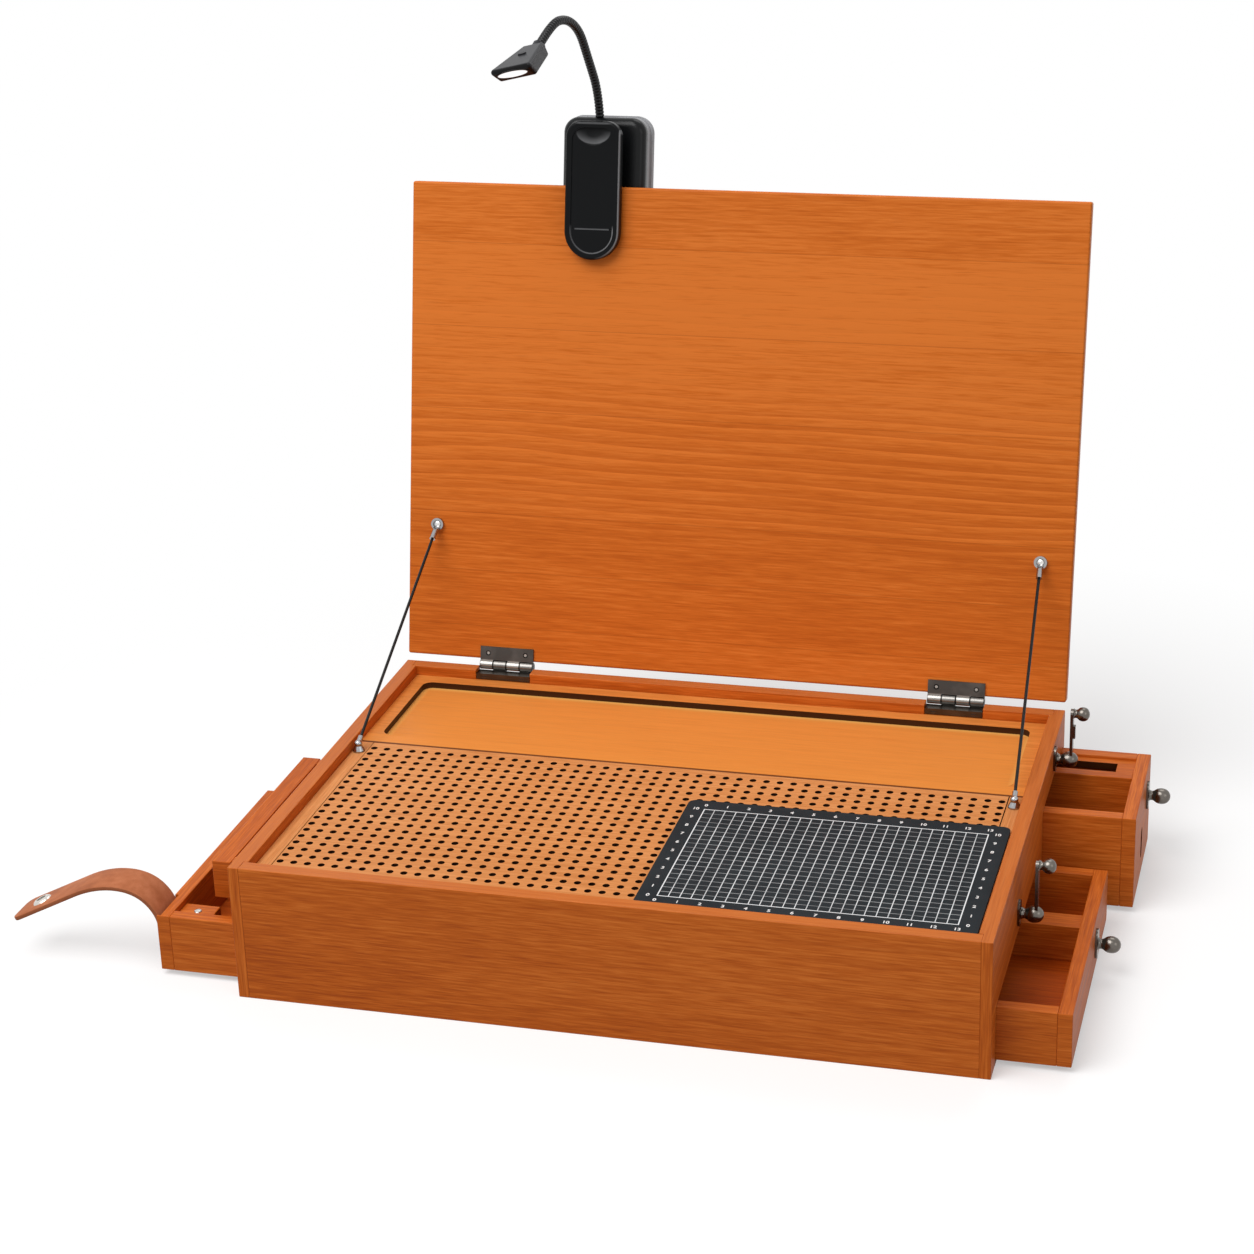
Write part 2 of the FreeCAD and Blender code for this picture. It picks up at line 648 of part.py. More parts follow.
def drawer_carcass(side, outer, y0, y1, top):
    """Sides, inner end and let-in bottom of a drawer whose face ends at outer, and the bottom's groove."""
    inner = outer - side * DRAWER_DEPTH
    front = outer - side * DRAWER_BOARD
    ply_z = DRAWER_Z + PLY_LIFT
    let_in = DRAWER_BOARD - PLY_GROOVE
    x0, x1 = inner + side * let_in, front + side * PLY_GROOVE
    ply_y0, ply_y1 = y0 + let_in, y1 - let_in
    bottom = block(x0, x1, ply_y0, ply_y1, ply_z, ply_z + DRAWER_PLY)
    groove = block(x0 - side * PLY_PLAY, x1 + side * PLY_PLAY, ply_y0 - PLY_PLAY, ply_y1 + PLY_PLAY,
                   ply_z, FLOOR_Z)
    boards = [board(inner, front, y0, y0 + DRAWER_BOARD, DRAWER_Z, top),
              board(inner, front, y1 - DRAWER_BOARD, y1, DRAWER_Z, top),
              board(inner, inner + side * DRAWER_BOARD, y0 + DRAWER_BOARD, y1 - DRAWER_BOARD, DRAWER_Z, top)]
    return [b.cut(groove) for b in boards], bottom, groove


def front_drawer():
    outer = HALF_W + FRONT_DRAWER_OUT
    inside = (outer - DRAWER_DEPTH + DRAWER_BOARD, outer - DRAWER_BOARD)
    boards, bottom, groove = drawer_carcass(1, outer, FRONT_Y0, FRONT_Y1, FRONT_TOP)
    divider_y = FRONT_Y0 + FRONT_WIDTH * FRONT_DIVIDER_SHARE
    divider_top = FRONT_TOP - FRONT_DIVIDER_DROP
    boards.append(board(*inside, divider_y, divider_y + FRONT_DIVIDER, FLOOR_Z, divider_top))
    save("front_drawer_boards", boards)
    save("front_drawer_bottom", bottom)
    face = board(outer - DRAWER_BOARD, outer, FRONT_Y0, FRONT_Y1, DRAWER_Z, FRONT_TOP)
    save("front_drawer_face", face.cut(groove))
    knob_y = FRONT_Y0 + FRONT_WIDTH * FRONT_KNOB_SHARE
    save("front_drawer_knob", knob(outer, knob_y, (DRAWER_Z + FRONT_TOP) / 2))


def rear_drawer():
    outer = HALF_W + REAR_DRAWER_OUT
    inside = (outer - DRAWER_DEPTH + DRAWER_BOARD, outer - DRAWER_BOARD)
    boards, bottom, groove = drawer_carcass(1, outer, REAR_Y0, REAR_Y1, REAR_TOP)
    divider_y = REAR_Y0 + REAR_WIDTH * REAR_DIVIDER_SHARE
    divider_back = divider_y + DRAWER_BOARD
    boards.append(board(*inside, divider_y, divider_back, FLOOR_Z, REAR_TOP))
    save("rear_drawer_boards", boards)
    save("rear_drawer_bottom", bottom)
    face = board(outer - DRAWER_BOARD, outer, REAR_Y0, REAR_Y1, DRAWER_Z, REAR_TOP)
    slot = stadium_x(FINGER_SLOT_WIDTH, FINGER_SLOT_HEIGHT, 2 * DRAWER_BOARD, outer - DRAWER_BOARD - RUN_GAP,
                     REAR_Y0 + REAR_WIDTH * FINGER_SLOT_SHARE, DRAWER_Z + FINGER_SLOT_LIFT)
    save("rear_drawer_face", face.cut([groove, slot]))
    top = REAR_TOP - INSERT_DROP
    insert = block(*inside, divider_back, REAR_Y1 - DRAWER_BOARD, top - INSERT_THICK, top)
    slot_y = divider_back + INSERT_EDGE
    x0, x1 = inside[0] + INSERT_SLOT_END, inside[1] - INSERT_SLOT_END
    hole = block(x0, x1, slot_y, slot_y + INSERT_SLOT_WIDTH, top - 2 * INSERT_THICK, REAR_TOP)
    save("rear_drawer_insert", insert.cut(hole))
    knob_y = REAR_Y0 + REAR_WIDTH * REAR_KNOB_SHARE
    save("rear_drawer_knob", knob(outer, knob_y, REAR_TOP - REAR_KNOB_DROP))


def strap_route(outer):
    """Runs of the strap's middle line in the x-z plane, from its root in the drawer's face."""
    start = (outer + STRAP_THICK / 2, DRAWER_Z + STRAP_ROOT_LIFT)
    steps = [("line", STRAP_ROOT), ("arc", STRAP_RISE_RADIUS, STRAP_RISE_TURN),
             ("arc", STRAP_FALL_RADIUS, STRAP_FALL_TURN), ("line", STRAP_RUN)]
    return walk(start, 90.0, steps)


def leather_strap(runs, y0):
    def lift(x, z):
        return V(x, y0, z)
    left = ribbon_edges(runs, STRAP_THICK / 2, lift)
    right = ribbon_edges(runs, -STRAP_THICK / 2, lift)
    caps = [Part.makeLine(left[0].Vertexes[0].Point, right[0].Vertexes[0].Point),
            Part.makeLine(left[-1].Vertexes[-1].Point, right[-1].Vertexes[-1].Point)]
    outline = Part.Wire(Part.__sortEdges__(left + right + caps))
    strap = Part.Face(outline).extrude(V(0, STRAP_WIDTH, 0))
    tip = runs[-1][1][0]
    corners = [e for e in strap.Edges if abs(e.Length - STRAP_THICK) < TOUCH
               and math.hypot(e.CenterOfMass.x - tip[0], e.CenterOfMass.z - tip[1]) < STRAP_THICK]
    return strap.makeFillet(STRAP_TIP_RADIUS, corners)


def strap_snap(seat, up):
    half = STRAP_THICK / 2
    profile = ((half, SNAP_RADIUS), (half + SNAP_RISE / 2, SNAP_SHOULDER), (half + SNAP_RISE, SNAP_CROWN))
    ring = turned(profile, seat, up)
    post_radius = SNAP_BORE - HINGE_PIN_FIT
    post = turned(((-half - SNAP_RISE, SNAP_RADIUS), (-half, SNAP_RADIUS), (-half, post_radius),
                   (half + SNAP_POST_RISE, post_radius)), seat, up)
    return [ring.cut(rod(SNAP_BORE, seat, seat + up * WALL)), post]


def lower_drawer():
    outer = -HALF_W - LOWER_DRAWER_OUT
    runs = strap_route(outer)
    boards, bottom, groove = drawer_carcass(-1, outer, FRONT_Y0, FRONT_Y1, LOWER_TOP)
    save("lower_drawer_boards", boards)
    save("lower_drawer_bottom", bottom)
    y0 = FRONT_Y0 + STRAP_EDGE
    root_z = DRAWER_Z + STRAP_ROOT_LIFT
    recess = block(outer - WALL, outer + STRAP_THICK, y0 - RUN_GAP, y0 + STRAP_WIDTH + RUN_GAP,
                   root_z - RUN_GAP, LOWER_TOP + WALL)
    seats = [V(outer, y0 + STRAP_WIDTH * share, root_z + STRAP_ROOT / 2) for share in STRAP_SCREW_SHARES]
    face = board(outer + DRAWER_BOARD, outer, FRONT_Y0, FRONT_Y1, DRAWER_Z, LOWER_TOP)
    save("lower_drawer_face", face.cut([groove, recess] + [screw_hole(seat, -X_AXIS) for seat in seats]))
    cuts = [rod(SCREW_RADIUS + PIVOT_PLAY, seat + X_AXIS * WALL, seat - X_AXIS * WALL) for seat in seats]
    tip, angle = runs[-1][1]
    up = V(math.sin(angle), 0, -math.cos(angle))
    snap_seat = V(tip[0] - SNAP_SETBACK * math.cos(angle), y0 + STRAP_WIDTH / 2,
                  tip[1] - SNAP_SETBACK * math.sin(angle))
    cuts.append(rod(SNAP_BORE, snap_seat - up * WALL, snap_seat + up * WALL))
    save("leather_strap", leather_strap(runs, y0).cut(cuts))
    save("strap_snap", strap_snap(snap_seat, up))
    x0, corner_y = outer + DRAWER_BOARD, FRONT_Y0 + DRAWER_BOARD
    block_top = LOWER_TOP - CORNER_BLOCK_DROP
    corner = board(x0, x0 + CORNER_BLOCK_X, corner_y, corner_y + CORNER_BLOCK_Y, FLOOR_Z, block_top)
    seat = V(x0 + CORNER_BLOCK_X / 2, corner_y + CORNER_BLOCK_Y / 2, block_top)
    save("lower_drawer_corner_block", corner.cut(screw_hole(seat, Z_AXIS)))
    save("lower_drawer_screws", [domed_screw(s, -X_AXIS) for s in seats] + [domed_screw(seat, Z_AXIS)])


def upper_tray():
    inner_face = -HALF_W - TRAY_OUT
    end = inner_face + HALF_W - PARTITION / 2 - STOP_GAP
    y0, y1 = TRAY_Y0 + TRAY_BOARD, TRAY_Y1 - TRAY_BOARD
    save("upper_tray_boards", [board(inner_face, end, TRAY_Y0, y0, TRAY_Z, TRAY_TOP),
                               board(inner_face, end, y1, TRAY_Y1, TRAY_Z, TRAY_TOP),
                               board(end - TRAY_BOARD, end, y0, y1, TRAY_Z, TRAY_TOP)])
    floor_top = TRAY_TOP - TRAY_FLOOR_DROP
    save("upper_tray_floor", block(inner_face, end - TRAY_BOARD, y0, y1, floor_top - TRAY_FLOOR, floor_top))
    face = board(inner_face - TRAY_FACE_THICK, inner_face, TRAY_Y0 - TRAY_FACE_OVERLAP,
                 TRAY_Y1 + TRAY_FACE_OVERLAP, TRAY_Z - TRAY_FACE_DROP, TRAY_TOP)
    save("upper_tray_face", face)


# Swing latches on the right wall

def latch(name, place, toothed):
    y, z = place
    plate = stadium_x(LATCH_PLATE_WIDTH, LATCH_PLATE_HEIGHT, PLATE_THICK, HALF_W, y, z)
    post = rod_x(LATCH_POST_RADIUS, HALF_W, LATCH_FOOT + LATCH_POST_LENGTH, y, z)
    holes = sunk_holes(latch_screw_seats(place), X_AXIS)
    save(name + "_latch_plate", plate.cut(holes).fuse(post).removeSplitter())
    hub = bulb(LATCH_HUB_LENGTH, KNOB_RADIUS, V(LATCH_FOOT + LATCH_HUB_GAP, y, z), X_AXIS)
    x0, x1 = LATCH_LEVER_X, LATCH_LEVER_X + LATCH_LEVER_THICK
    half = LATCH_LEVER_WIDTH / 2
    tip_z = z + LATCH_LEVER_LENGTH
    pieces = [block(x0, x1, y - half, y + half, z, tip_z), rod_x(half, x0, x1, y, tip_z)]
    if toothed:
        tooth_z = tip_z - LATCH_TOOTH_DROP
        pieces.append(block(x1 - LATCH_LEVER_THICK, x1 + LATCH_TOOTH_THICK, y - half, y, tooth_z,
                            tooth_z + LATCH_TOOTH_LENGTH))
    bore = rod_x(LATCH_POST_RADIUS + PIVOT_PLAY, LATCH_FOOT, LATCH_FOOT + LATCH_POST_LENGTH + RUN_GAP, y, z)
    lever = hub.fuse(pieces).removeSplitter().cut(bore)
    save(name + "_latch_lever", [lever, bulb(THUMB_LENGTH, THUMB_RADIUS, V(x1, y, tip_z), X_AXIS)])


# Butt hinges, built on the lid's own axes and on the back wall

def knuckle_spans(first):
    """Knuckle spans from the hinge's left end; the lid has the even ones."""
    spans = []
    for index in range(first, HINGE_KNUCKLES, 2):
        left = -HINGE_WIDTH / 2 + index * KNUCKLE_LENGTH
        spans.append((left + KNUCKLE_GAP / 2, left + KNUCKLE_LENGTH - KNUCKLE_GAP / 2))
    return spans


def lid_leaf_screw_seats(centre):
    z = (HINGE_GAP + LID_LEAF_HEIGHT) / 2
    return [V(centre + end * HINGE_SCREW_X, -LEAF_THICK, z) for end in (-1, 1)]


def lid_leaf(centre):
    half = HINGE_WIDTH / 2
    root = KNUCKLE_RADIUS + KNUCKLE_GAP
    barrels = []
    for x0, x1 in knuckle_spans(0):
        barrels.append(rod_x(KNUCKLE_RADIUS, centre + x0, centre + x1, 0, 0))
        barrels.append(block(centre + x0, centre + x1, -LEAF_THICK, 0, 0, root))
    leaf = block(centre - half, centre + half, -LEAF_THICK, 0, root, LID_LEAF_HEIGHT)
    bore = rod_x(HINGE_PIN_RADIUS + PIVOT_PLAY, centre - half, centre + half, 0, 0)
    holes = sunk_holes(lid_leaf_screw_seats(centre), -Y_AXIS)
    return on_lid(leaf.fuse(barrels).removeSplitter().cut([bore] + holes))


def case_leaf(centre):
    half = HINGE_WIDTH / 2
    top = NOTCH_Z + LEAF_THICK
    root = HINGE_Y - KNUCKLE_RADIUS - KNUCKLE_GAP
    pieces = [block(centre - half, centre + half, IN_Y, IN_Y + LEAF_THICK, DECK_TOP + SEAM_GAP, top)]
    for x0, x1 in knuckle_spans(1):
        pieces.append(rod_x(KNUCKLE_RADIUS, centre + x0, centre + x1, HINGE_Y, HINGE_Z))
        pieces.append(block(centre + x0, centre + x1, root, HINGE_Y, NOTCH_Z, top))
    plate = block(centre - half, centre + half, IN_Y, root, NOTCH_Z, top)
    bore = rod_x(HINGE_PIN_RADIUS + HINGE_PIN_FIT, centre - half, centre + half, HINGE_Y, HINGE_Z)
    holes = sunk_holes(case_leaf_screw_seats(centre), -Y_AXIS)
    return plate.fuse(pieces).removeSplitter().cut([bore] + holes)


def hinges():
    half = HINGE_WIDTH / 2
    pins = []
    for name, centre in (("left", -HINGE_X), ("right", HINGE_X)):
        save(name + "_hinge_lid_leaf", lid_leaf(centre))
        save(name + "_hinge_case_leaf", case_leaf(centre))
        pins.append(rod_x(HINGE_PIN_RADIUS, centre - half, centre + half, HINGE_Y, HINGE_Z))
    save("hinge_pins", pins)


# Lid panel and stay cables

def eye_screw_seat(side):
    return V(side * STAY_LID_X, -EYE_THICK / 2, HINGE_GAP + STAY_LID_UP)


def lid():
    panel = board(-HALF_W, HALF_W, 0, LID_THICK, HINGE_GAP, LID_TOP, LID_EASE)
    leaf_seats = lid_leaf_screw_seats(-HINGE_X) + lid_leaf_screw_seats(HINGE_X)
    eye_seats = [eye_screw_seat(-1), eye_screw_seat(1)]
    holes = flush_holes(leaf_seats, -Y_AXIS) + [screw_hole(seat, -Y_AXIS) for seat in eye_seats]
    save("lid_panel", on_lid(panel.cut(holes)))
    screws = [flush_screw(seat, -Y_AXIS) for seat in leaf_seats]
    screws += [domed_screw(seat, -Y_AXIS) for seat in eye_seats]
    save("lid_screws", [on_lid(screw) for screw in screws])


def stays():
    for name, side in (("left", -1), ("right", 1)):
        seat = eye_screw_seat(side)
        eye = LID_PLACE.multVec(seat)
        foot = V(side * STAY_DECK_X, STAY_DECK_Y, DECK_TOP)
        ball_place = foot + Z_AXIS * FERRULE_PROFILE[-1][0]
        along = eye - ball_place
        along.normalize()
        disc = rod(EYE_RADIUS, V(seat.x, 0, seat.z), V(seat.x, -EYE_THICK, seat.z))
        well = rod(EYE_BORE, seat, seat - Y_AXIS * WALL)
        behind = block(seat.x - WALL, seat.x + WALL, 0, WALL, seat.z - WALL, seat.z + WALL)
        sleeve = rod(SLEEVE_RADIUS, eye - along * EYE_BORE, eye - along * SLEEVE_LENGTH)
        cuts = [on_lid(screw_hole(seat, -Y_AXIS)), on_lid(well), on_lid(behind)]
        save(name + "_stay_eye", on_lid(disc).fuse(sleeve).removeSplitter().cut(cuts))
        plug = rod(FERRULE_PLUG_RADIUS, foot - Z_AXIS * FERRULE_SINK, foot + Z_AXIS)
        bell = turned(FERRULE_PROFILE, foot, Z_AXIS)
        ball = Part.makeSphere(FERRULE_BALL_RADIUS, ball_place)
        cable_start = ball_place + along * FERRULE_NOSE_LENGTH
        nose = rod(FERRULE_NOSE_RADIUS, ball_place, cable_start)
        save(name + "_stay_ferrule", plug.fuse([bell, ball, nose]).removeSplitter())
        save(name + "_stay_cable", rod(CABLE_RADIUS, cable_start, eye - along * SLEEVE_LENGTH))


# Clip-on lamp

def jaw_outline(inset, y):
    """Closed outline with a round lower end and rounded upper corners, on the plane at y."""
    half = JAW_WIDTH / 2 - inset
    low = JAW_LOW + JAW_WIDTH / 2
    top = JAW_TOP - inset
    corner = JAW_TOP_RADIUS - inset / 2
    slant = corner * (1 - math.cos(math.pi / 4))
    left, right = LAMP_X - half, LAMP_X + half
    side_top = top - corner
    bottom = Part.Arc(V(left, y, low), V(LAMP_X, y, low - half), V(right, y, low))
    right_bend = Part.Arc(V(right, y, side_top), V(right - slant, y, top - slant), V(right - corner, y, top))
    left_bend = Part.Arc(V(left + corner, y, top), V(left + slant, y, top - slant), V(left, y, side_top))
    edges = [bottom.toShape(), Part.makeLine(V(right, y, low), V(right, y, side_top)), right_bend.toShape(),
             Part.makeLine(V(right - corner, y, top), V(left + corner, y, top)), left_bend.toShape(),
             Part.makeLine(V(left, y, side_top), V(left, y, low))]
    return Part.Face(Part.Wire(edges))


def clip_jaw():
    plate = jaw_outline(0, JAW_BACK).extrude(V(0, -JAW_THICK, 0))
    plate = plate.makeFillet(JAW_EASE, edges_at(plate, Y_AXIS, JAW_FRONT))
    panel_y = JAW_FRONT + JAW_PANEL_SINK
    panel = jaw_outline(JAW_PANEL_INSET, panel_y).extrude(V(0, -JAW_THICK, 0))
    column = jaw_outline(JAW_PANEL_INSET, JAW_BACK).extrude(V(0, -JAW_THICK, 0))
    ball_y = JAW_FRONT + JAW_SCOOP_DEPTH - JAW_SCOOP_RADIUS
    scoop = Part.makeSphere(JAW_SCOOP_RADIUS, V(LAMP_X, ball_y, JAW_TOP - JAW_SCOOP_DROP)).common(column)
    half_line = JAW_WIDTH / 2 - JAW_PANEL_INSET
    line_z = JAW_LOW + JAW_LINE_LIFT
    line = block(LAMP_X - half_line, LAMP_X + half_line, JAW_FRONT, panel_y + JAW_LINE_DEPTH, line_z,
                 line_z + JAW_LINE_HEIGHT)
    half_pad = JAW_PAD_WIDTH / 2
    pad_z = JAW_LOW + JAW_PAD_LIFT
    pad = block(LAMP_X - half_pad, LAMP_X + half_pad, -JAW_PAD_GAP, JAW_BACK, pad_z, pad_z + JAW_PAD_LENGTH)
    x0, x1 = LAMP_X - CLIP_LUG_WIDTH / 2, LAMP_X + CLIP_LUG_WIDTH / 2
    lug = rod_x(CLIP_LUG_RADIUS, x0, x1, CLIP_PIN_BEHIND, CLIP_PIN_Z)
    low, high = CLIP_PIN_Z - CLIP_LUG_RADIUS, CLIP_PIN_Z + CLIP_LUG_RADIUS
    web = block(x0, x1, JAW_BACK, CLIP_PIN_BEHIND, low, high)
    bore = rod_x(CLIP_PIN_RADIUS + PIVOT_PLAY, x0 - WALL, x1 + WALL, CLIP_PIN_BEHIND, CLIP_PIN_Z)
    return plate.cut([panel, scoop, line]).fuse([pad, lug, web]).removeSplitter().cut(bore)


def housing_shell(grow, y0, y1):
    """A block with rounded upright corners seen from the front, grown all round by grow."""
    centre = LAMP_X + HOUSING_OFFSET_X
    half = HOUSING_WIDTH / 2 + grow
    low = LID_TOP - HOUSING_REACH_DOWN - grow
    shell = block(centre - half, centre + half, y0, y1, low, HOUSING_TOP + grow)
    return shell.makeFillet(HOUSING_RADIUS + grow, edges_along(shell, Y_AXIS))


def lamp_housing():
    body = housing_shell(0, HOUSING_Y0, HOUSING_Y1)
    body = body.makeFillet(HOUSING_EASE, edges_at(body, Y_AXIS, HOUSING_Y0))
    low, high = CLIP_PIN_Z - CLIP_LUG_RADIUS, CLIP_PIN_Z + CLIP_LUG_RADIUS
    ears = []
    for side in (-1, 1):
        inner = LAMP_X + side * (CLIP_LUG_WIDTH / 2 + CLIP_EAR_GAP)
        outer = inner + side * CLIP_EAR_WIDTH
        ears.append(rod_x(CLIP_LUG_RADIUS, inner, outer, CLIP_PIN_BEHIND, CLIP_PIN_Z))
        ears.append(block(inner, outer, CLIP_PIN_BEHIND, HOUSING_Y0 + HOUSING_EASE, low, high))
    bore = rod_x(CLIP_PIN_RADIUS + HINGE_PIN_FIT, LAMP_X - JAW_WIDTH, LAMP_X + JAW_WIDTH, CLIP_PIN_BEHIND,
                 CLIP_PIN_Z)
    base = neck_base()
    socket = rod(NECK_RADIUS + NECK_PLAY, base, base + Z_AXIS * (2 * NECK_SINK))
    return on_lid(body.fuse(ears).removeSplitter().cut(bore)).cut(socket)


def rear_cover():
    back = HOUSING_Y1 + REAR_COVER_THICK
    cover = housing_shell(REAR_COVER_GROW, HOUSING_Y1, back)
    return on_lid(cover.makeFillet(REAR_COVER_EASE, edges_at(cover, Y_AXIS, back)))


def neck_base():
    """Where the gooseneck's lower end stands in its socket."""
    mouth = V(LAMP_X + NECK_OFFSET_X, HOUSING_Y0 + NECK_BASE_DEPTH, HOUSING_TOP)
    return LID_PLACE.multVec(mouth) - Z_AXIS * NECK_SINK


def neck_heading():
    heading = V(NECK_HEADING[0], NECK_HEADING[1], 0)
    heading.normalize()
    return heading


def neck_runs():
    """Runs of the gooseneck in the upright plane that it bends in."""
    steps = [("line", NECK_SINK), ("arc", NECK_RISE_RADIUS, -NECK_RISE_TURN), ("line", NECK_RUN),
             ("arc", NECK_BEND_RADIUS, -NECK_BEND_TURN), ("line", NECK_END_RUN)]
    return walk((0.0, 0.0), 90.0, steps)


def run_length(run):
    (start, angle0), (end, angle1), arc = run
    return math.dist(start, end) if arc is None else arc[1] * abs(angle1 - angle0)


def along_neck(distance):
    """Place and direction at a distance along the gooseneck."""
    for run in neck_runs():
        length = run_length(run)
        if distance <= length + TOUCH:
            break
        distance -= length
    (start, angle0), (end, angle1), arc = run
    share = distance / length
    angle = angle0 + (angle1 - angle0) * share
    if arc is None:
        out = start[0] + (end[0] - start[0]) * share
        rise = start[1] + (end[1] - start[1]) * share
    else:
        centre, radius, side = arc
        out = centre[0] + side * radius * math.sin(angle)
        rise = centre[1] - side * radius * math.cos(angle)
    heading = neck_heading()
    place = neck_base() + heading * out + Z_AXIS * rise
    return place, heading * math.cos(angle) + Z_AXIS * math.sin(angle)


def neck_length():
    return sum(run_length(run) for run in neck_runs())


def gooseneck():
    """A ribbed tube: a ruled loft through four circles for each rib."""
    length = neck_length()
    ribs = int(length / NECK_RIB_PITCH)
    pitch = length / ribs
    core = NECK_RADIUS - NECK_GROOVE
    rise, fall, end = NECK_RIB_SHARES
    rings = []
    for index in range(ribs):
        for share, radius in ((0.0, core), (rise, NECK_RADIUS), (fall, NECK_RADIUS), (end, core)):
            rings.append(((index + share) * pitch, radius))
    rings.append((length, core))
    across = neck_heading().cross(Z_AXIS)
    wires = []
    for distance, radius in rings:
        place, direction = along_neck(distance)
        circle = Part.Circle(place, direction, radius)
        circle.XAxis = across
        wires.append(Part.Wire(circle.toShape()))
    return Part.makeLoft(wires, True, True)


def head_place():
    """Placement at the neck's end whose x points out of the nose, y across and z out of the top."""
    nose = V(*HEAD_POINT)
    nose.normalize()
    top = nose.cross(V(*HEAD_ACROSS))
    top.normalize()
    across = top.cross(nose)
    matrix = FreeCAD.Matrix(nose.x, across.x, top.x, 0, nose.y, across.y, top.y, 0,
                            nose.z, across.z, top.z, 0, 0, 0, 0, 1)
    place = FreeCAD.Placement(matrix)
    place.Base = along_neck(neck_length())[0]
    return place


def lens_place():
    """Placement on the middle of the sloping nose face, z pointing out of it."""
    middle = V(HEAD_LENGTH - HEAD_NOSE_SLOPE / 2, 0, 0)
    return FreeCAD.Placement(middle, FreeCAD.Rotation(Y_AXIS, 90 + math.degrees(NOSE_LEAN)))


def lens_disc(shrink, thick):
    """An oval disc from the bottom of the lens's pocket, long side across the head."""
    oval = Part.Ellipse(V(0, 0, -LENS_DEPTH), LENS_WIDTH / 2 - shrink, LENS_HEIGHT / 2 - shrink)
    oval.rotate(FreeCAD.Placement(V(0, 0, 0), FreeCAD.Rotation(Z_AXIS, 90)))
    return moved(Part.Face(Part.Wire(oval.toShape())).extrude(V(0, 0, thick)), lens_place())


def switch_bar(grow, low, thick):
    """A round-ended bar across the head's top, grown all round by grow."""
    radius = SWITCH_WIDTH / 2 + grow
    half = (SWITCH_LENGTH - SWITCH_WIDTH) / 2
    middle = block(SWITCH_BACK - radius, SWITCH_BACK + radius, -half, half, low, low + thick)
    ends = [rod(radius, V(SWITCH_BACK, y, low), V(SWITCH_BACK, y, low + thick)) for y in (-half, half)]
    return middle.fuse(ends).removeSplitter()


def head_shell():
    half = HEAD_THICK / 2
    nose = HEAD_LENGTH - HEAD_NOSE_SLOPE
    side = [V(0, 0, -half), V(0, 0, half), V(HEAD_LENGTH, 0, half), V(nose, 0, -half)]
    profile = Part.Face(Part.makePolygon(side + [side[0]])).extrude(V(0, 2 * HEAD_FRONT_WIDTH, 0))
    profile.translate(V(0, -HEAD_FRONT_WIDTH, 0))
    back, front = HEAD_BACK_WIDTH / 2, HEAD_FRONT_WIDTH / 2
    plan = [V(0, -back, -half), V(HEAD_LENGTH, -front, -half), V(HEAD_LENGTH, front, -half),
            V(0, back, -half)]
    outline = Part.Face(Part.makePolygon(plan + [plan[0]])).extrude(V(0, 0, HEAD_THICK))
    shell = profile.common(outline).removeSplitter()
    return shell.makeFillet(HEAD_EASE, shell.Edges)


def lamp_head(place):
    slot = switch_bar(SWITCH_GAP, HEAD_THICK / 2 - SWITCH_DEPTH, 2 * SWITCH_DEPTH)
    shell = moved(head_shell().cut([lens_disc(0, 2 * LENS_DEPTH), slot]), place)
    start, neck_way = along_neck(neck_length())
    collar = rod(COLLAR_RADIUS, start - neck_way * COLLAR_LENGTH, start + neck_way * COLLAR_LENGTH)
    socket = rod(NECK_RADIUS + NECK_PLAY, start - neck_way * SOCKET_LENGTH, start + neck_way * NECK_PLAY)
    return shell.fuse(collar).removeSplitter().cut(socket)


def lamp():
    save("clip_jaw", on_lid(clip_jaw()))
    save("lamp_housing", lamp_housing())
    save("lamp_rear_cover", rear_cover())
    half = CLIP_LUG_WIDTH / 2 + CLIP_EAR_GAP + CLIP_EAR_WIDTH
    pin = rod_x(CLIP_PIN_RADIUS, LAMP_X - half, LAMP_X + half, CLIP_PIN_BEHIND, CLIP_PIN_Z)
    save("clip_pin", on_lid(pin))
    save("lamp_gooseneck", gooseneck())
    place = head_place()
    save("lamp_head", lamp_head(place))
    save("lamp_lens", moved(lens_disc(SWITCH_GAP / 2, LENS_DEPTH + LENS_RISE), place))
    switch = switch_bar(0, HEAD_THICK / 2 - SWITCH_DEPTH + SWITCH_RISE, SWITCH_DEPTH)
    save("lamp_switch", moved(switch, place))


case()
inner_frame()
deck()
front_drawer()
rear_drawer()
lower_drawer()
upper_tray()
latch("front", FRONT_LATCH, False)
latch("rear", REAR_LATCH, True)
hinges()
lid()
stays()
lamp()
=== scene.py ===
"""Dresses the portable hobby workstation: oiled wood, printed mat, metal fittings, strap, stays and lamp."""
import math

import bmesh
import bpy
from mathutils import Matrix, Vector


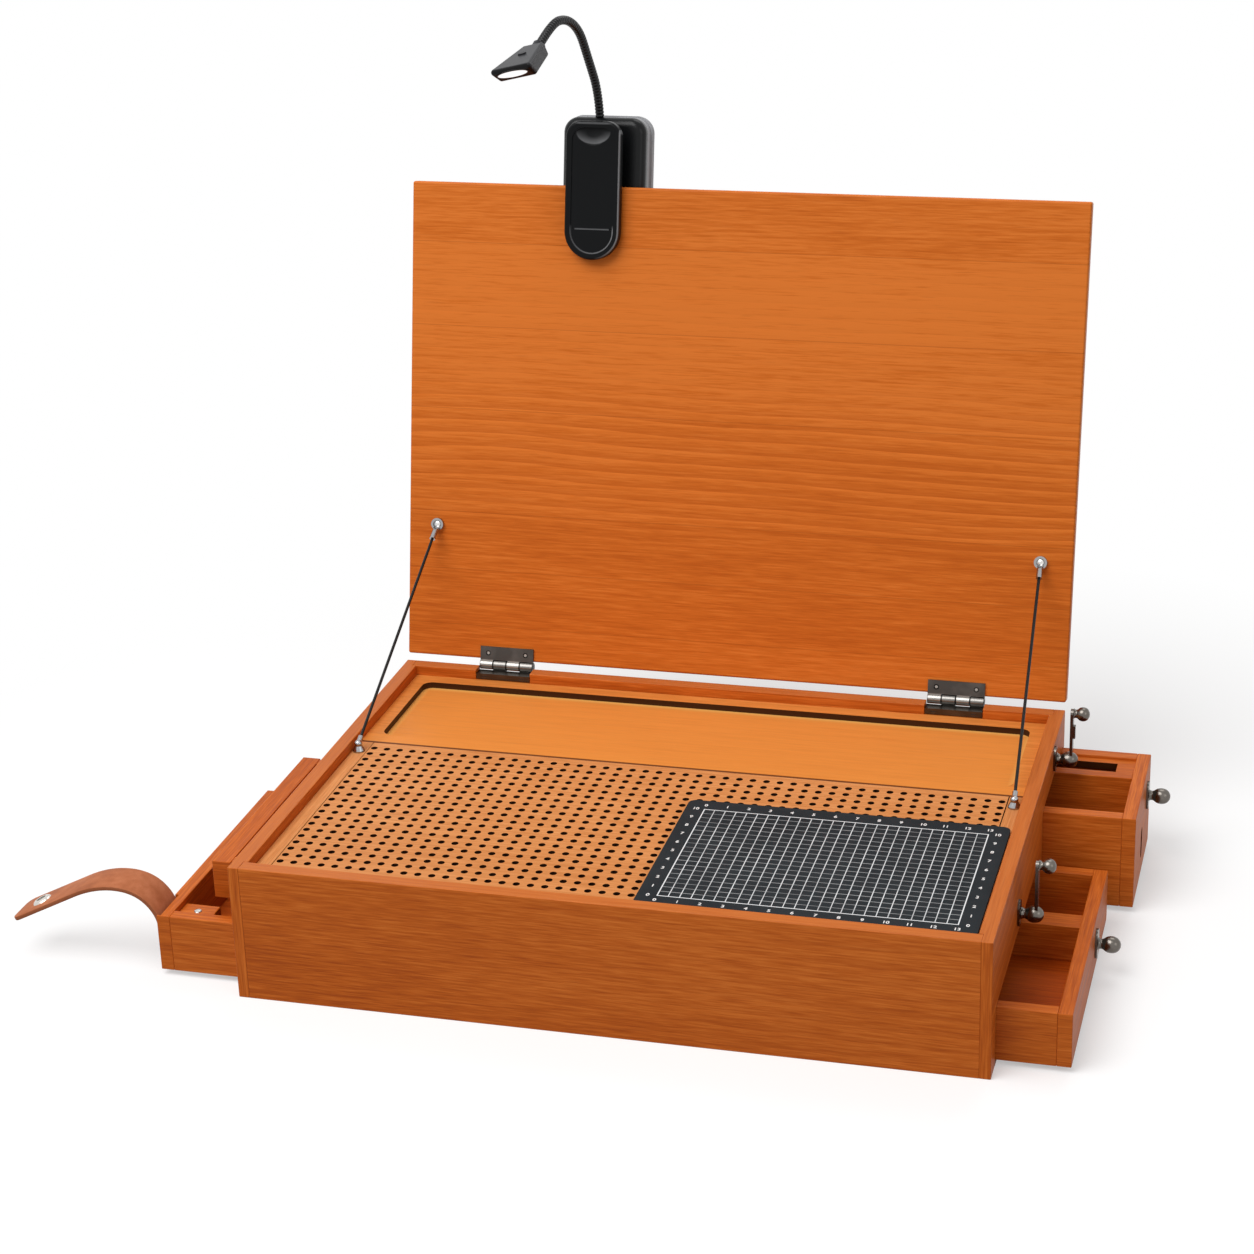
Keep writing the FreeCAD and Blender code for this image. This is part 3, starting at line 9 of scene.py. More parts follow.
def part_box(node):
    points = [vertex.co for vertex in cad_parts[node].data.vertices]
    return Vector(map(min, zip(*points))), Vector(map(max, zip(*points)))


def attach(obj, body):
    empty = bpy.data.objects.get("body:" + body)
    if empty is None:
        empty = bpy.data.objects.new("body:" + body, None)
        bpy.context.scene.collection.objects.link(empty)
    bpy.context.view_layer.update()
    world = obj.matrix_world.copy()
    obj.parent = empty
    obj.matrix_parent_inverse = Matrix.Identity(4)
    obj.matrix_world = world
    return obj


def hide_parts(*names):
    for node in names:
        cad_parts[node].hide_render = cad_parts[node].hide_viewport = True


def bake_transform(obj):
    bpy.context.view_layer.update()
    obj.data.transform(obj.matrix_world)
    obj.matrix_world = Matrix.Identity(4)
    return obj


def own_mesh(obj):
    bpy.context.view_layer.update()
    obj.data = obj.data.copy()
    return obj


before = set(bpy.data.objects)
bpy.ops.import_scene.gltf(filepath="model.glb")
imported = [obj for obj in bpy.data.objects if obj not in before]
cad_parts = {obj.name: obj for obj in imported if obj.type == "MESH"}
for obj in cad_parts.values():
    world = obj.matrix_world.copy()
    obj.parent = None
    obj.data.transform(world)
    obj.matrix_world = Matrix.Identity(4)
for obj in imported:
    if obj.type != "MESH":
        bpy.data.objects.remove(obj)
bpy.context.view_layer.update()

# Camera at the photograph's viewing angle, pixels of a 1254 by 1254 frame
IMAGE_SIZE = 1254
FOCAL_PIXELS = 2810.66
SENSOR_MM = 36.0
CAMERA_REACH = 50.0
CAMERA_PLACE = (0.43577, -1.61557, 0.88261)
CAMERA_TURN = math.radians(15.87)
CAMERA_RISE = math.radians(22.05)
CAMERA_ROLL = math.radians(-1.951)

# Hinge line of the lid, and how far the lid turns to shut
HINGE_Y = 0.1725
HINGE_Z = 0.0924
HINGE_LINE = Vector((0.0, HINGE_Y, HINGE_Z))
KNUCKLE_RADIUS = 0.0036
KNUCKLE_LENGTH = 0.010
KNUCKLE_EDGE = (KNUCKLE_RADIUS + 0.0002, KNUCKLE_RADIUS + 0.0008)
KNUCKLE_GAP = (0.5, 0.04, 0.03)
HINGE_X = 0.164
HINGE_SCREW_OUT = 0.014
HINGE_SCREW_UP = 0.0088
SCREW_DOT_EDGE = (0.0008, 0.0012)
EYE_SCREWS_FROM = (0.14, 0.15)
LID_SHUT_TURN = math.radians(98.0)

# Stay cables: from the ball on the deck's ferrule to the eye on the lid, right-hand side
STAY_BALL = Vector((0.225, 0.025446, 0.0906))
STAY_EYE = Vector((0.218, 0.192032, 0.191505))
STAY_NOSE = 0.006
STAY_SLEEVE = 0.014
CABLE_RADIUS = 0.00105

# Leather strap: control points of its middle line in the x-z plane, from its root in the drawer face
STRAP_ROUTE = ((-0.2991, 0.0160), (-0.2991, 0.0184), (-0.2991, 0.0416), (-0.3155, 0.0580), (-0.3439, 0.0580),
               (-0.3738, 0.04275), (-0.4052, 0.02676))
STRAP_Y = -0.1385
STRAP_WIDTH = 0.028
STRAP_THICK = 0.0028
STRAP_TIP_RADIUS = 0.0065
STRAP_CUTS = 60
STRAP_RIM = 0.22 * STRAP_THICK
STRAP_RIM_ANGLE = 1.0
SNAP_SOCKET = 0.0036

# Gooseneck: control points out along its heading and up, from its mouth in the lamp's housing
NECK_MOUTH = Vector((-0.1075, 0.270809, 0.474102))
NECK_HEADING = Vector((-0.199, -0.980, 0.0)).normalized()
NECK_ROUTE = ((0.0, -0.007), (0.0, 0.01596), (0.0156, 0.0454), (0.0264, 0.0656), (0.04492, 0.07659),
              (0.06646, 0.07634), (0.08832, 0.06268))
NECK_RADIUS = 0.0031
NECK_GROOVE = 0.00045
NECK_PITCH = 0.0024
NECK_RIB_SHARES = ((0.0, 0.0), (0.25, 1.0), (0.65, 1.0), (0.9, 0.0), (1.0, 0.0))
NECK_SIDES = 20

# Lamp head: out of its nose, across and out of its top
HEAD_NOSE = Vector((-0.216, -0.933, -0.287)).normalized()
HEAD_TOP = HEAD_NOSE.cross(Vector((0.925, -0.289, 0.245))).normalized()
HEAD_ACROSS = HEAD_TOP.cross(HEAD_NOSE)

# Lens: the frosted oval inside its dark rim, on the slope between nose and top
LENS_RUN = 6.5
LENS_RISE = 10.5
HEAD_SLOPE = (HEAD_NOSE * LENS_RUN + HEAD_TOP * LENS_RISE).normalized()
GLOW_HALF = (0.0118, 0.0030)

# Clip jaw on the lid: heights up the lid from the hinge line
LAMP_X = -0.105
LID_LEAN = math.radians(12.0)
LID_UP = Vector((0.0, math.sin(LID_LEAN), math.cos(LID_LEAN)))
LID_BACK = Vector((0.0, math.cos(LID_LEAN), -math.sin(LID_LEAN)))
HOUSING_SPLIT = (0.0190, 0.0193)
COVER_GREY = (0.36, 0.363, 0.377)
JAW_HALF = 0.0198
JAW_PANEL_HALF = 0.0152
JAW_ROUND = 0.3152
JAW_LINE = 0.3168
JAW_TOP = 0.3912
SCOOP_DROP = 0.0075
SCOOP_HALF = (0.0122, 0.0082)

# Painted highlight bands on the jaw: middle, half width and softness, and where some of them fade
FOOT_BAND = (JAW_PANEL_HALF, 0.0002, 0.0004)
FOOT_FADE = (JAW_LINE, JAW_LINE + 0.003)
FOOT_SHADE = (-0.016, 0.014, 0.35, 1.0)
LINE_BAND = (JAW_LINE, 0.0003, 0.0003)
LINE_REACH = (0.0, 0.0122, 0.0004)
RIM_BAND = (JAW_HALF - 0.0008, 0.0003, 0.0004)
RIM_FADE = (0.002, 0.016)
EDGE_BAND = (JAW_TOP - 0.0016, 0.0003, 0.0006)
EDGE_REACH = (0.0, 0.010, 0.004)

# Deck and drawers, where a finish changes on one board
DECK_TOP = 0.085
DECK_SEAM = 0.0421
RECESS_SIDE = 0.2195
RECESS_FRONT = 0.0555
RECESS_BACK = 0.1495
RECESS_LEVEL = (DECK_TOP - 0.0042, DECK_TOP - 0.0036)
RECESS_RIM = (0.0010, 0.0050)
SEAM_WIDE = 0.0010
EDGE_SOFT = 0.0004
FINGER_SLOT = (0.10587, 0.028)
FINGER_SLOT_HALF = (0.0050, 0.0115)

# Printed grid on the mat
GRID_CELLS = (26, 20)
GRID_MARGIN = 0.0125
LINE_SOFT = 0.00008
NUMBER_SIZE = 0.0044
NUMBER_BOLD = 0.00012
NUMBER_THICK = 0.00003
NUMBER_LIFT = 0.00004
NUMBER_INSET = 0.55 * GRID_MARGIN
NUMBER_EVERY = 2
UPRIGHT_LINE = 0.00048
LEVEL_LINE = 0.00050
BORDER_LINE = 0.0011


class Sock:
    """A shader socket whose arithmetic adds Math nodes."""

    def __init__(self, nodes, socket):
        self.nodes = nodes
        self.socket = socket

    def math(self, operation, *others):
        return self.nodes.node("ShaderNodeMath", 0, {"operation": operation}, dict(enumerate((self,) + others)))

    def __add__(self, other):
        return self.math("ADD", other)

    def __sub__(self, other):
        return self.math("SUBTRACT", other)

    def __rsub__(self, other):
        return self.nodes.node("ShaderNodeMath", 0, {"operation": "SUBTRACT"}, {0: other, 1: self})

    def __mul__(self, other):
        return self.math("MULTIPLY", other)

    def __truediv__(self, other):
        return self.math("DIVIDE", other)

    def __abs__(self):
        return self.math("ABSOLUTE")

    __radd__ = __add__
    __rmul__ = __mul__


class Nodes:
    """A node tree whose nodes all come from one method."""

    def __init__(self, tree):
        self.tree = tree

    def node(self, kind, out=0, settings=None, inputs=None):
        made = self.tree.nodes.new(kind)
        for key, value in (settings or {}).items():
            if key == "stops":
                self.set_stops(made.color_ramp, value)
            else:
                setattr(made, key, value)
        for key, value in (inputs or {}).items():
            self.feed(made.inputs[key], value)
        return Sock(self, made.outputs[out])

    def set_stops(self, ramp, stops):
        while len(ramp.elements) < len(stops):
            ramp.elements.new(0.5)
        for element, (place, colour) in zip(ramp.elements, stops):
            element.position = place
            element.color = (*colour, 1.0)

    def feed(self, socket, value):
        if isinstance(value, Sock):
            self.tree.links.new(value.socket, socket)
        elif socket.type == "RGBA":
            socket.default_value = (*value, 1.0)
        else:
            socket.default_value = value

    def span(self, value, low, high, to_low=0.0, to_high=1.0):
        return self.node("ShaderNodeMapRange", 0, None, {0: value, 1: low, 2: high, 3: to_low, 4: to_high})

    def fall(self, value, low, high):
        """1 up to low, falling to 0 at high."""
        return self.span(value, low, high, 1.0, 0.0)

    def seen(self):
        """1 where the camera, a mirror or glass looks, 0 for light that only bounces."""
        ways = [self.node("ShaderNodeLightPath", name)
                for name in ("Is Camera Ray", "Is Glossy Ray", "Is Transmission Ray")]
        return ways[0].math("MAXIMUM", ways[1]).math("MAXIMUM", ways[2])


class Paint(Nodes):
    """One procedural material round a Principled shader."""

    def __init__(self, name):
        self.material = bpy.data.materials.new(name)
        self.material.use_nodes = True
        super().__init__(self.material.node_tree)
        self.shader = next(n for n in self.tree.nodes if n.type == "BSDF_PRINCIPLED")

    def finish(self, **values):
        """Feed the shader by socket name, with underscores for spaces."""
        for key, value in values.items():
            self.feed(self.shader.inputs[key.replace("_", " ")], value)
        return self.material

    def place(self):
        return self.node("ShaderNodeTexCoord", "Object")

    def normal(self):
        return self.node("ShaderNodeTexCoord", "Normal")

    def mapped(self, vector, scale=(1, 1, 1), shift=(0, 0, 0), turn=(0, 0, 0)):
        return self.node("ShaderNodeMapping", 0, None, {"Vector": vector, "Location": shift, "Rotation": turn,
                                                        "Scale": scale})

    def noise(self, vector, scale=1.0, detail=2.0, rough=0.5):
        return self.node("ShaderNodeTexNoise", 0, None, {"Vector": vector, "Scale": scale, "Detail": detail,
                                                         "Roughness": rough})

    def cells(self, vector, scale):
        return self.node("ShaderNodeTexVoronoi", 0, None, {"Vector": vector, "Scale": scale})

    def axis(self, vector, name):
        return self.node("ShaderNodeSeparateXYZ", name, None, {0: vector})

    def along(self, vector, way):
        return self.node("ShaderNodeVectorMath", "Value", {"operation": "DOT_PRODUCT"}, {0: vector, 1: way})

    def within(self, value, centre, half, soft):
        """1 nearer to the centre than half, falling to 0 over soft."""
        return self.fall(abs(value - centre), half, half + soft)

    def off_axis(self, axis, low, high):
        """1 on faces turned away from an axis, such as the walls of a hole along it."""
        return self.fall(abs(self.axis(self.normal(), axis)), low, high)

    def lid_height(self):
        """Height up the leaning lid from its hinge line."""
        return self.along(self.place(), LID_UP) - LID_UP.dot(HINGE_LINE)

    def ramp(self, value, stops):
        return self.node("ShaderNodeValToRGB", 0, {"stops": stops}, {0: value})

    def mix(self, share, first, second):
        return self.node("ShaderNodeMix", 2, {"data_type": "RGBA"}, {0: share, 6: first, 7: second})

    def either(self, share, first, second):
        return self.node("ShaderNodeMix", 1, {"data_type": "VECTOR"}, {0: share, 4: first, 5: second})

    def bump(self, height, strength, distance):
        return self.node("ShaderNodeBump", 0, None, {"Height": height, "Strength": strength, "Distance": distance})


def distance(first, second):
    """Length of the slope over two sides at right angles."""
    return (first * first + second * second).math("SQRT")


# Route splines, and pieces bent along them

MERGE_DISTANCE = 0.000005


def add_object(name, data):
    item = bpy.data.objects.new(name, data)
    bpy.context.scene.collection.objects.link(item)
    return item


def route_spline(name, points):
    """An open spline with the route's points as its control points."""
    data = bpy.data.curves.new(name, "CURVE")
    data.dimensions = "3D"
    data.twist_mode = "Z_UP"
    data.resolution_u = 32
    spline = data.splines.new("NURBS")
    spline.points.add(len(points) - 1)
    for point, place in zip(spline.points, points):
        point.co = (*place, 1.0)
    spline.order_u = 3
    spline.use_endpoint_u = True
    return add_object(name, data)


def read_points(holder):
    data = bpy.data.meshes.new_from_object(holder)
    points = [vert.co.copy() for vert in data.vertices]
    bpy.data.meshes.remove(data)
    return points


def path_length(points):
    return sum((b - a).length for a, b in zip(points, points[1:]))


def drop(*objects):
    for item in objects:
        bpy.data.objects.remove(item)


def mesh_of(name, maker):
    data = bpy.data.meshes.new(name)
    shape = bmesh.new()
    maker(shape)
    shape.to_mesh(data)
    shape.free()
    return data


def bent_mesh(name, straight, holder, place, copies=1, pitch=0.0):
    """Lay a straight mesh, built along +X, on a route in the x-y plane, then carry it by a matrix."""
    worker = add_object(name, straight)
    if copies > 1:
        repeat = worker.modifiers.new("repeat", "ARRAY")
        repeat.count = copies
        repeat.use_relative_offset = False
        repeat.use_constant_offset = True
        repeat.constant_offset_displace = (pitch, 0.0, 0.0)
        repeat.use_merge_vertices = True
        repeat.merge_threshold = pitch / 100
    bend = worker.modifiers.new("bend", "CURVE")
    bend.object = holder
    bend.deform_axis = "POS_X"
    data = bpy.data.meshes.new_from_object(worker.evaluated_get(bpy.context.evaluated_depsgraph_get()))
    data.transform(place)
    drop(worker)
    return data


def closed_piece(name, data, material, smooth=True):
    """Close a mesh's open ends, turn its faces outwards and make it a piece."""
    def close(shape):
        shape.from_mesh(data)
        bmesh.ops.remove_doubles(shape, verts=shape.verts, dist=MERGE_DISTANCE)
        bmesh.ops.holes_fill(shape, edges=shape.edges)
        bmesh.ops.recalc_face_normals(shape, faces=shape.faces)
    final = mesh_of(name, close)
    final.materials.append(material)
    if smooth:
        final.shade_smooth()
    piece = add_object(name, final)
    return piece


def camera():
    right = Vector((math.cos(CAMERA_TURN), math.sin(CAMERA_TURN), 0.0))
    level = math.cos(CAMERA_RISE)
    back = Vector((math.sin(CAMERA_TURN) * level, -math.cos(CAMERA_TURN) * level, math.sin(CAMERA_RISE)))
    across = right * math.cos(CAMERA_ROLL) + back.cross(right) * math.sin(CAMERA_ROLL)
    data = bpy.data.cameras.new("camera")
    data.sensor_width = SENSOR_MM
    data.lens = SENSOR_MM * FOCAL_PIXELS / IMAGE_SIZE
    data.clip_end = CAMERA_REACH
    seat = add_object("camera", data)
    turn = Matrix((across, back.cross(across), back)).transposed().to_4x4()
    seat.matrix_world = Matrix.Translation(CAMERA_PLACE) @ turn
    bpy.context.scene.camera = seat


# Stay cables

def stay_cable(name, side, material):
    ball = Vector((side * STAY_BALL.x, STAY_BALL.y, STAY_BALL.z))
    eye = Vector((side * STAY_EYE.x, STAY_EYE.y, STAY_EYE.z))
    way = (eye - ball).normalized()
    start = ball + way * STAY_NOSE
    end = eye - way * STAY_SLEEVE
    holder = route_spline(name, (start, (start + end) / 2, end))
    path = read_points(holder)
    holder.data.bevel_depth = CABLE_RADIUS
    holder.data.bevel_resolution = 3
    holder.data.use_fill_caps = True
    tube = bpy.data.meshes.new_from_object(holder)
    drop(holder)
    cable = closed_piece(name + "_cable", tube, material)
    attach(cable, "case")
    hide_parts(name + "_stay_cable")
    path_length(path)
    hinge = Vector((end.x, HINGE_Y, HINGE_Z))
    shut = Matrix.Rotation(LID_SHUT_TURN, 3, "X") @ (end - hinge) + hinge
    pull = end - shut
    reach = pull.normalized().dot(end - start)
    1 - pull.length / reach
    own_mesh(cable)


# Leather strap

def leather_strap(material):
    holder = route_spline("strap_route", [(x, z, 0.0) for x, z in STRAP_ROUTE])
    length = path_length(read_points(holder))
    half = STRAP_WIDTH / 2

    def cut(shape):
        corners = [shape.verts.new((x, 0.0, z)) for x, z in ((0, -half), (length, -half), (length, half), (0, half))]
        shape.faces.new(corners)
        bmesh.ops.bevel(shape, geom=corners[1:3], offset=STRAP_TIP_RADIUS, segments=8, profile=0.5, affect="VERTICES",
                        material=-1)
        for step in range(1, STRAP_CUTS):
            bmesh.ops.bisect_plane(shape, geom=shape.verts[:] + shape.edges[:] + shape.faces[:],
                                   plane_co=(length * step / STRAP_CUTS, 0, 0), plane_no=(1, 0, 0))
        bmesh.ops.solidify(shape, geom=shape.faces[:], thickness=STRAP_THICK)
        low = min(vert.co.y for vert in shape.verts)
        bmesh.ops.translate(shape, verts=shape.verts, vec=(0, -low - STRAP_THICK / 2, 0))
        rims = [e for e in shape.edges if len(e.link_faces) == 2 and e.calc_face_angle() > STRAP_RIM_ANGLE]
        bmesh.ops.bevel(shape, geom=rims, offset=STRAP_RIM, segments=3, profile=0.5, affect="EDGES", material=-1)

    place = Matrix.Translation((0, STRAP_Y, 0)) @ Matrix.Rotation(math.pi / 2, 4, "X")
    bent = bent_mesh("strap", mesh_of("strap", cut), holder, place)
    drop(holder)
    strap = closed_piece("strap_leather", bent, material)
    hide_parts("leather_strap")
    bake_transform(strap)


# Gooseneck

def gooseneck(material):
    holder = route_spline("neck_route", [(out, up, 0.0) for out, up in NECK_ROUTE])
    path = read_points(holder)
    ribs = int(path_length(path) / NECK_PITCH)

    def rib(shape):
        verts = [shape.verts.new((share * NECK_PITCH, 0.0, NECK_RADIUS - NECK_GROOVE * (1 - rise)))
                 for share, rise in NECK_RIB_SHARES]
        edges = [shape.edges.new(pair) for pair in zip(verts, verts[1:])]
        bmesh.ops.spin(shape, geom=verts + edges, cent=(0, 0, 0), axis=(1, 0, 0), angle=2 * math.pi,
                       steps=NECK_SIDES, use_merge=True)

    side = NECK_HEADING.cross(Vector((0, 0, 1)))
    turn = Matrix((NECK_HEADING, (0, 0, 1), side)).transposed().to_4x4()
    place = Matrix.Translation(NECK_MOUTH) @ turn
    bent = bent_mesh("neck", mesh_of("rib", rib), holder, place, ribs, NECK_PITCH)
    drop(holder)
    neck = closed_piece("gooseneck_ribbed", bent, material)
    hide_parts("lamp_gooseneck")
    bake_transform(neck)


# Oiled wood

TONES = {
    "case": ((0.38, 0.071, 0.0055), (0.515, 0.111, 0.010), (0.65, 0.170, 0.024)),
    "lid": ((0.49, 0.102, 0.0075), (0.59, 0.137, 0.0125), (0.69, 0.182, 0.025)),
    "deck": ((0.54, 0.195, 0.054), (0.65, 0.260, 0.083), (0.76, 0.335, 0.122)),
    "tray": ((0.58, 0.185, 0.033), (0.70, 0.235, 0.046), (0.80, 0.295, 0.068)),
    "bottom": ((0.37, 0.052, 0.002), (0.48, 0.074, 0.004), (0.58, 0.105, 0.008)),
    "inner": ((0.30, 0.070, 0.012), (0.42, 0.112, 0.024), (0.52, 0.160, 0.042)),
}
TRAY_FLOOR = (0.80, 0.285, 0.053)
# Painted highlight along the rim of the recess floor
TRAY_RIM_HIGHLIGHT = (0.92, 0.48, 0.125)
TRAY_SEAM = (0.10, 0.024, 0.006)
# Painted light: paler colour on the upward faces of the case boards
PAINTED_TOP_LIGHT = (0.55, 0.168, 0.043)
SHADED_WALL = (0.060, 0.013, 0.003)
# Near-black painted shade for the walls of the peg holes, the insert's slots and the tray recess
PAINTED_WALL_SHADE = (0.020, 0.006, 0.002)
QUARTER = math.pi / 2
GRAIN_TURN = {"X": (0, 0, 0), "Y": (0, 0, -QUARTER), "Z": (0, QUARTER, 0)}

# Noise scales along the grain and across it
STREAKS = {
    "broad": (2.6, 14, 14),
    "lines": (20, 620, 620),
    "fibre": (55, 1200, 1200),
    "warp": (2.4, 7, 7),
    "zone": (0.9, 6, 6),
    "broken": (9, 120, 120),
    "pores": (45, 800, 800),
}
RING_PITCH = 0.0088
RING_DRIFT = 3.6
RING_RISE = (0.62, 0.95)
RING_FALL = (0.97, 1.0)
VALLEY = (0.55, 0.05)
ZONE_SPAN = (0.42, 0.62)
PORE_SPAN = (0.64, 0.78)
WOOD_GLOSS = 0.40
WOOD_SHINE = 0.14
WOOD_RELIEF = (0.16, 0.0002)
SEAM_HALF = 0.0002

# Lid planks: height of each seam, and how much paler the plank above it is than the one below; the steps hold each
# plank's own tone and also painted shade, darker low on the lid and lighter higher up
LID_SEAMS = ((0.120, -0.10), (0.160, 0.06), (0.201, 0.13), (0.274, 0.06), (0.332, 0.16), (0.390, -0.16))
LID_BELT = (0.240, 0.034, 0.030)


def grain_field(paint, along, seed, ends):
    """Object coordinates with X along the grain; faces across the grain take the direction of ends."""
    place = paint.place()
    main = paint.mapped(place, shift=(seed, seed * 0.7, seed * 0.4), turn=GRAIN_TURN[along])
    if not ends:
        return main
    crossing = paint.mapped(place, shift=(seed * 1.7, seed, seed * 0.9), turn=GRAIN_TURN[ends])
    facing = paint.span(abs(paint.axis(paint.normal(), along)), 0.6, 0.7)
    return paint.either(facing, main, crossing)


def wood_figure(paint, tone, along="X", seed=0.0, ends=None, rings=0.5, seams=(), belt=None):
    """Colour, relief and fine lines of one board: fine lines and fibres, growth rings, planks and their seams."""
    dark, middle, light = TONES[tone]
    grain = grain_field(paint, along, seed, ends)

    def streak(kind, detail=2.0, low=0.30, high=0.70):
        return paint.span(paint.noise(paint.mapped(grain, STREAKS[kind]), 1.0, detail, 0.55), low, high)

    broad, lines, fibre = streak("broad"), streak("lines"), streak("fibre")
    warp = paint.noise(paint.mapped(grain, STREAKS["warp"]), 1.0, 2.0, 0.45)
    across = paint.axis(grain, "Y") + paint.axis(grain, "Z") * 0.8
    tooth = (across / RING_PITCH + warp * RING_DRIFT).math("FRACT")
    zone = streak("zone", 1.0, *ZONE_SPAN)
    height = paint.axis(paint.place(), "Z")
    if belt:
        zone = zone * 0.30 + paint.within(height, *belt) * 0.70
    broken = streak("broken", 1.0) * 0.5 + 0.5
    ring = paint.span(tooth, *RING_RISE) * paint.fall(tooth, *RING_FALL) * zone * broken
    valley = paint.span(tooth, *VALLEY) * zone
    shade = broad * 0.26 + lines * 0.36 + fibre * 0.38
    seam = None
    for level, step in seams:
        shade = shade + paint.span(height, level - SEAM_HALF, level + SEAM_HALF) * step
        joint = paint.within(height, level, SEAM_HALF, SEAM_HALF)
        seam = joint if seam is None else seam.math("MAXIMUM", joint)
    colour = paint.ramp(shade, ((0.20, dark), (0.50, middle), (0.80, light)))
    colour = paint.mix(ring * (0.85 * rings), colour, tuple(c * 1.12 for c in light))
    colour = paint.mix(valley * (0.55 * rings), colour, dark)
    pores = streak("pores", 1.0, *PORE_SPAN)
    colour = paint.mix(pores * 0.15, colour, tuple(c * 0.55 for c in dark))
    if seam:
        colour = paint.mix(seam * 0.35, colour, tuple(c * 0.6 for c in dark))
    return colour, lines * 0.4 + fibre * 0.4 + ring * 0.3 - pores * 0.5, lines


def oil(paint, colour, relief, lines, gloss):
    return paint.finish(Base_Color=colour, Roughness=lines * 0.12 + gloss, Specular_IOR_Level=WOOD_SHINE,
                        Normal=paint.bump(relief, *WOOD_RELIEF))


def oiled_wood(name, tone, gloss=WOOD_GLOSS, **figure):
    paint = Paint(name)
    return oil(paint, *wood_figure(paint, tone, **figure), gloss)


def case_wood(name, **figure):
    """Case boards, painted paler on faces turned upwards, as painted light from above."""
    paint = Paint(name)
    colour, relief, lines = wood_figure(paint, "case", **figure)
    top = paint.span(paint.axis(paint.normal(), "Z"), 0.55, 0.95)
    return oil(paint, paint.mix(top * (lines * 0.3 + 0.45), colour, PAINTED_TOP_LIGHT), relief, lines, WOOD_GLOSS)


def peg_wood():
    """Deck wood whose hole walls are painted near black, a painted shade inside the holes."""
    paint = Paint("peg_wood")
    colour, relief, lines = wood_figure(paint, "deck", seed=4.3, rings=0.4)
    wall = paint.off_axis("Z", 0.45, 0.55)
    return oil(paint, paint.mix(wall, colour, PAINTED_WALL_SHADE), relief, lines, 0.46)


def tray_wood():
    """Rear deck board: a paler recess floor with a painted highlight along its rim, recess walls painted dark as
    painted shade, and a dark front seam.
    """
    paint = Paint("tray_wood")
    colour, relief, lines = wood_figure(paint, "tray", seed=5.1, rings=0.4)
    place = paint.place()
    x, y = abs(paint.axis(place, "X")), paint.axis(place, "Y")
    low = paint.fall(paint.axis(place, "Z"), *RECESS_LEVEL)
    front = paint.fall(y, RECESS_FRONT, RECESS_FRONT + EDGE_SOFT)
    colour = paint.mix(low.math("MAXIMUM", front) * (lines * 0.25 + 0.60), colour, TRAY_FLOOR)
    inside = (RECESS_SIDE - x).math("MINIMUM", RECESS_BACK - y)
    # Painted highlight: a bright line on the recess floor next to its walls
    rim = paint.fall(inside, *RECESS_RIM) * low
    colour = paint.mix(rim * 0.7, colour, TRAY_RIM_HIGHLIGHT)
    # Painted shade: the board's steep faces, the recess walls among them, are painted near black
    wall = paint.off_axis("Z", 0.25, 0.45)
    colour = paint.mix(wall * 0.96, colour, PAINTED_WALL_SHADE)
    seam = paint.within(y, DECK_SEAM, SEAM_WIDE, EDGE_SOFT)
    return oil(paint, paint.mix(seam * 0.92, colour, TRAY_SEAM), relief, lines, 0.42)


def insert_wood():
    """Slotted board in the rear drawer, with its slot walls painted dark as a painted shade."""
    paint = Paint("insert_wood")
    colour, relief, lines = wood_figure(paint, "case", seed=9.2, ends="Y")
    wall = paint.off_axis("Z", 0.45, 0.55)
    return oil(paint, paint.mix(wall * 0.95, colour, PAINTED_WALL_SHADE), relief, lines, WOOD_GLOSS)


def face_wood():
    """Drawer faces; the walls of the finger slot are painted dark, a painted shade inside the slot."""
    paint = Paint("drawer_face_wood")
    colour, relief, lines = wood_figure(paint, "case", along="Y", seed=11.6, ends="X")
    place = paint.place()
    y = paint.within(paint.axis(place, "Y"), FINGER_SLOT[0], FINGER_SLOT_HALF[0], EDGE_SOFT)
    z = paint.within(paint.axis(place, "Z"), FINGER_SLOT[1], FINGER_SLOT_HALF[1], EDGE_SOFT)
    wall = paint.off_axis("X", 0.3, 0.6)
    return oil(paint, paint.mix(y * z * wall * 0.9, colour, SHADED_WALL), relief, lines, WOOD_GLOSS)


# Metals, plastics, leather and mat

BLACK = (0.0, 0.0, 0.0)
WORN_BRIGHT = (0.72, 0.69, 0.65)
LEAF_DARK = (0.085, 0.080, 0.074)
# Painted shade in the hinge knuckle gaps, and the dark of the hinge screws
GAP_DARK = (0.012, 0.011, 0.010)
SCREW_DOT = (0.45, 0.43, 0.40)
EYE_SCREW = (0.70, 0.69, 0.67)
SNAP_RING = (0.66, 0.63, 0.58)
SNAP_DARK = (0.20, 0.19, 0.175)
JAW_BLACK = (0.0035, 0.0040, 0.0046)
# Grey of the painted highlights on the jaw
JAW_HIGHLIGHT = (0.20, 0.203, 0.21)
HOUSING_BLACK = (0.004, 0.0045, 0.005)
HEAD_SHADE = (0.020, 0.020, 0.022)
HEAD_TOP_SHEEN = (0.046, 0.047, 0.051)
GRIP_GREY = (0.085, 0.086, 0.090)
NOSE_BLACK = (0.004, 0.004, 0.0045)
LENS_BASE = (0.20, 0.20, 0.20)
LENS_GLOW = ((1.0, 1.0, 1.0), (0.93, 0.93, 0.93))
LEATHER = ((0.2, (0.345, 0.106, 0.043)), (0.5, (0.437, 0.144, 0.061)), (0.8, (0.518, 0.188, 0.089)))
LEATHER_EDGE = (0.26, 0.080, 0.034)
MAT_GROUND = ((0.0130, 0.0190, 0.0225), (0.0230, 0.0310, 0.0360))
GRID_INK = (0.86, 0.89, 0.90)
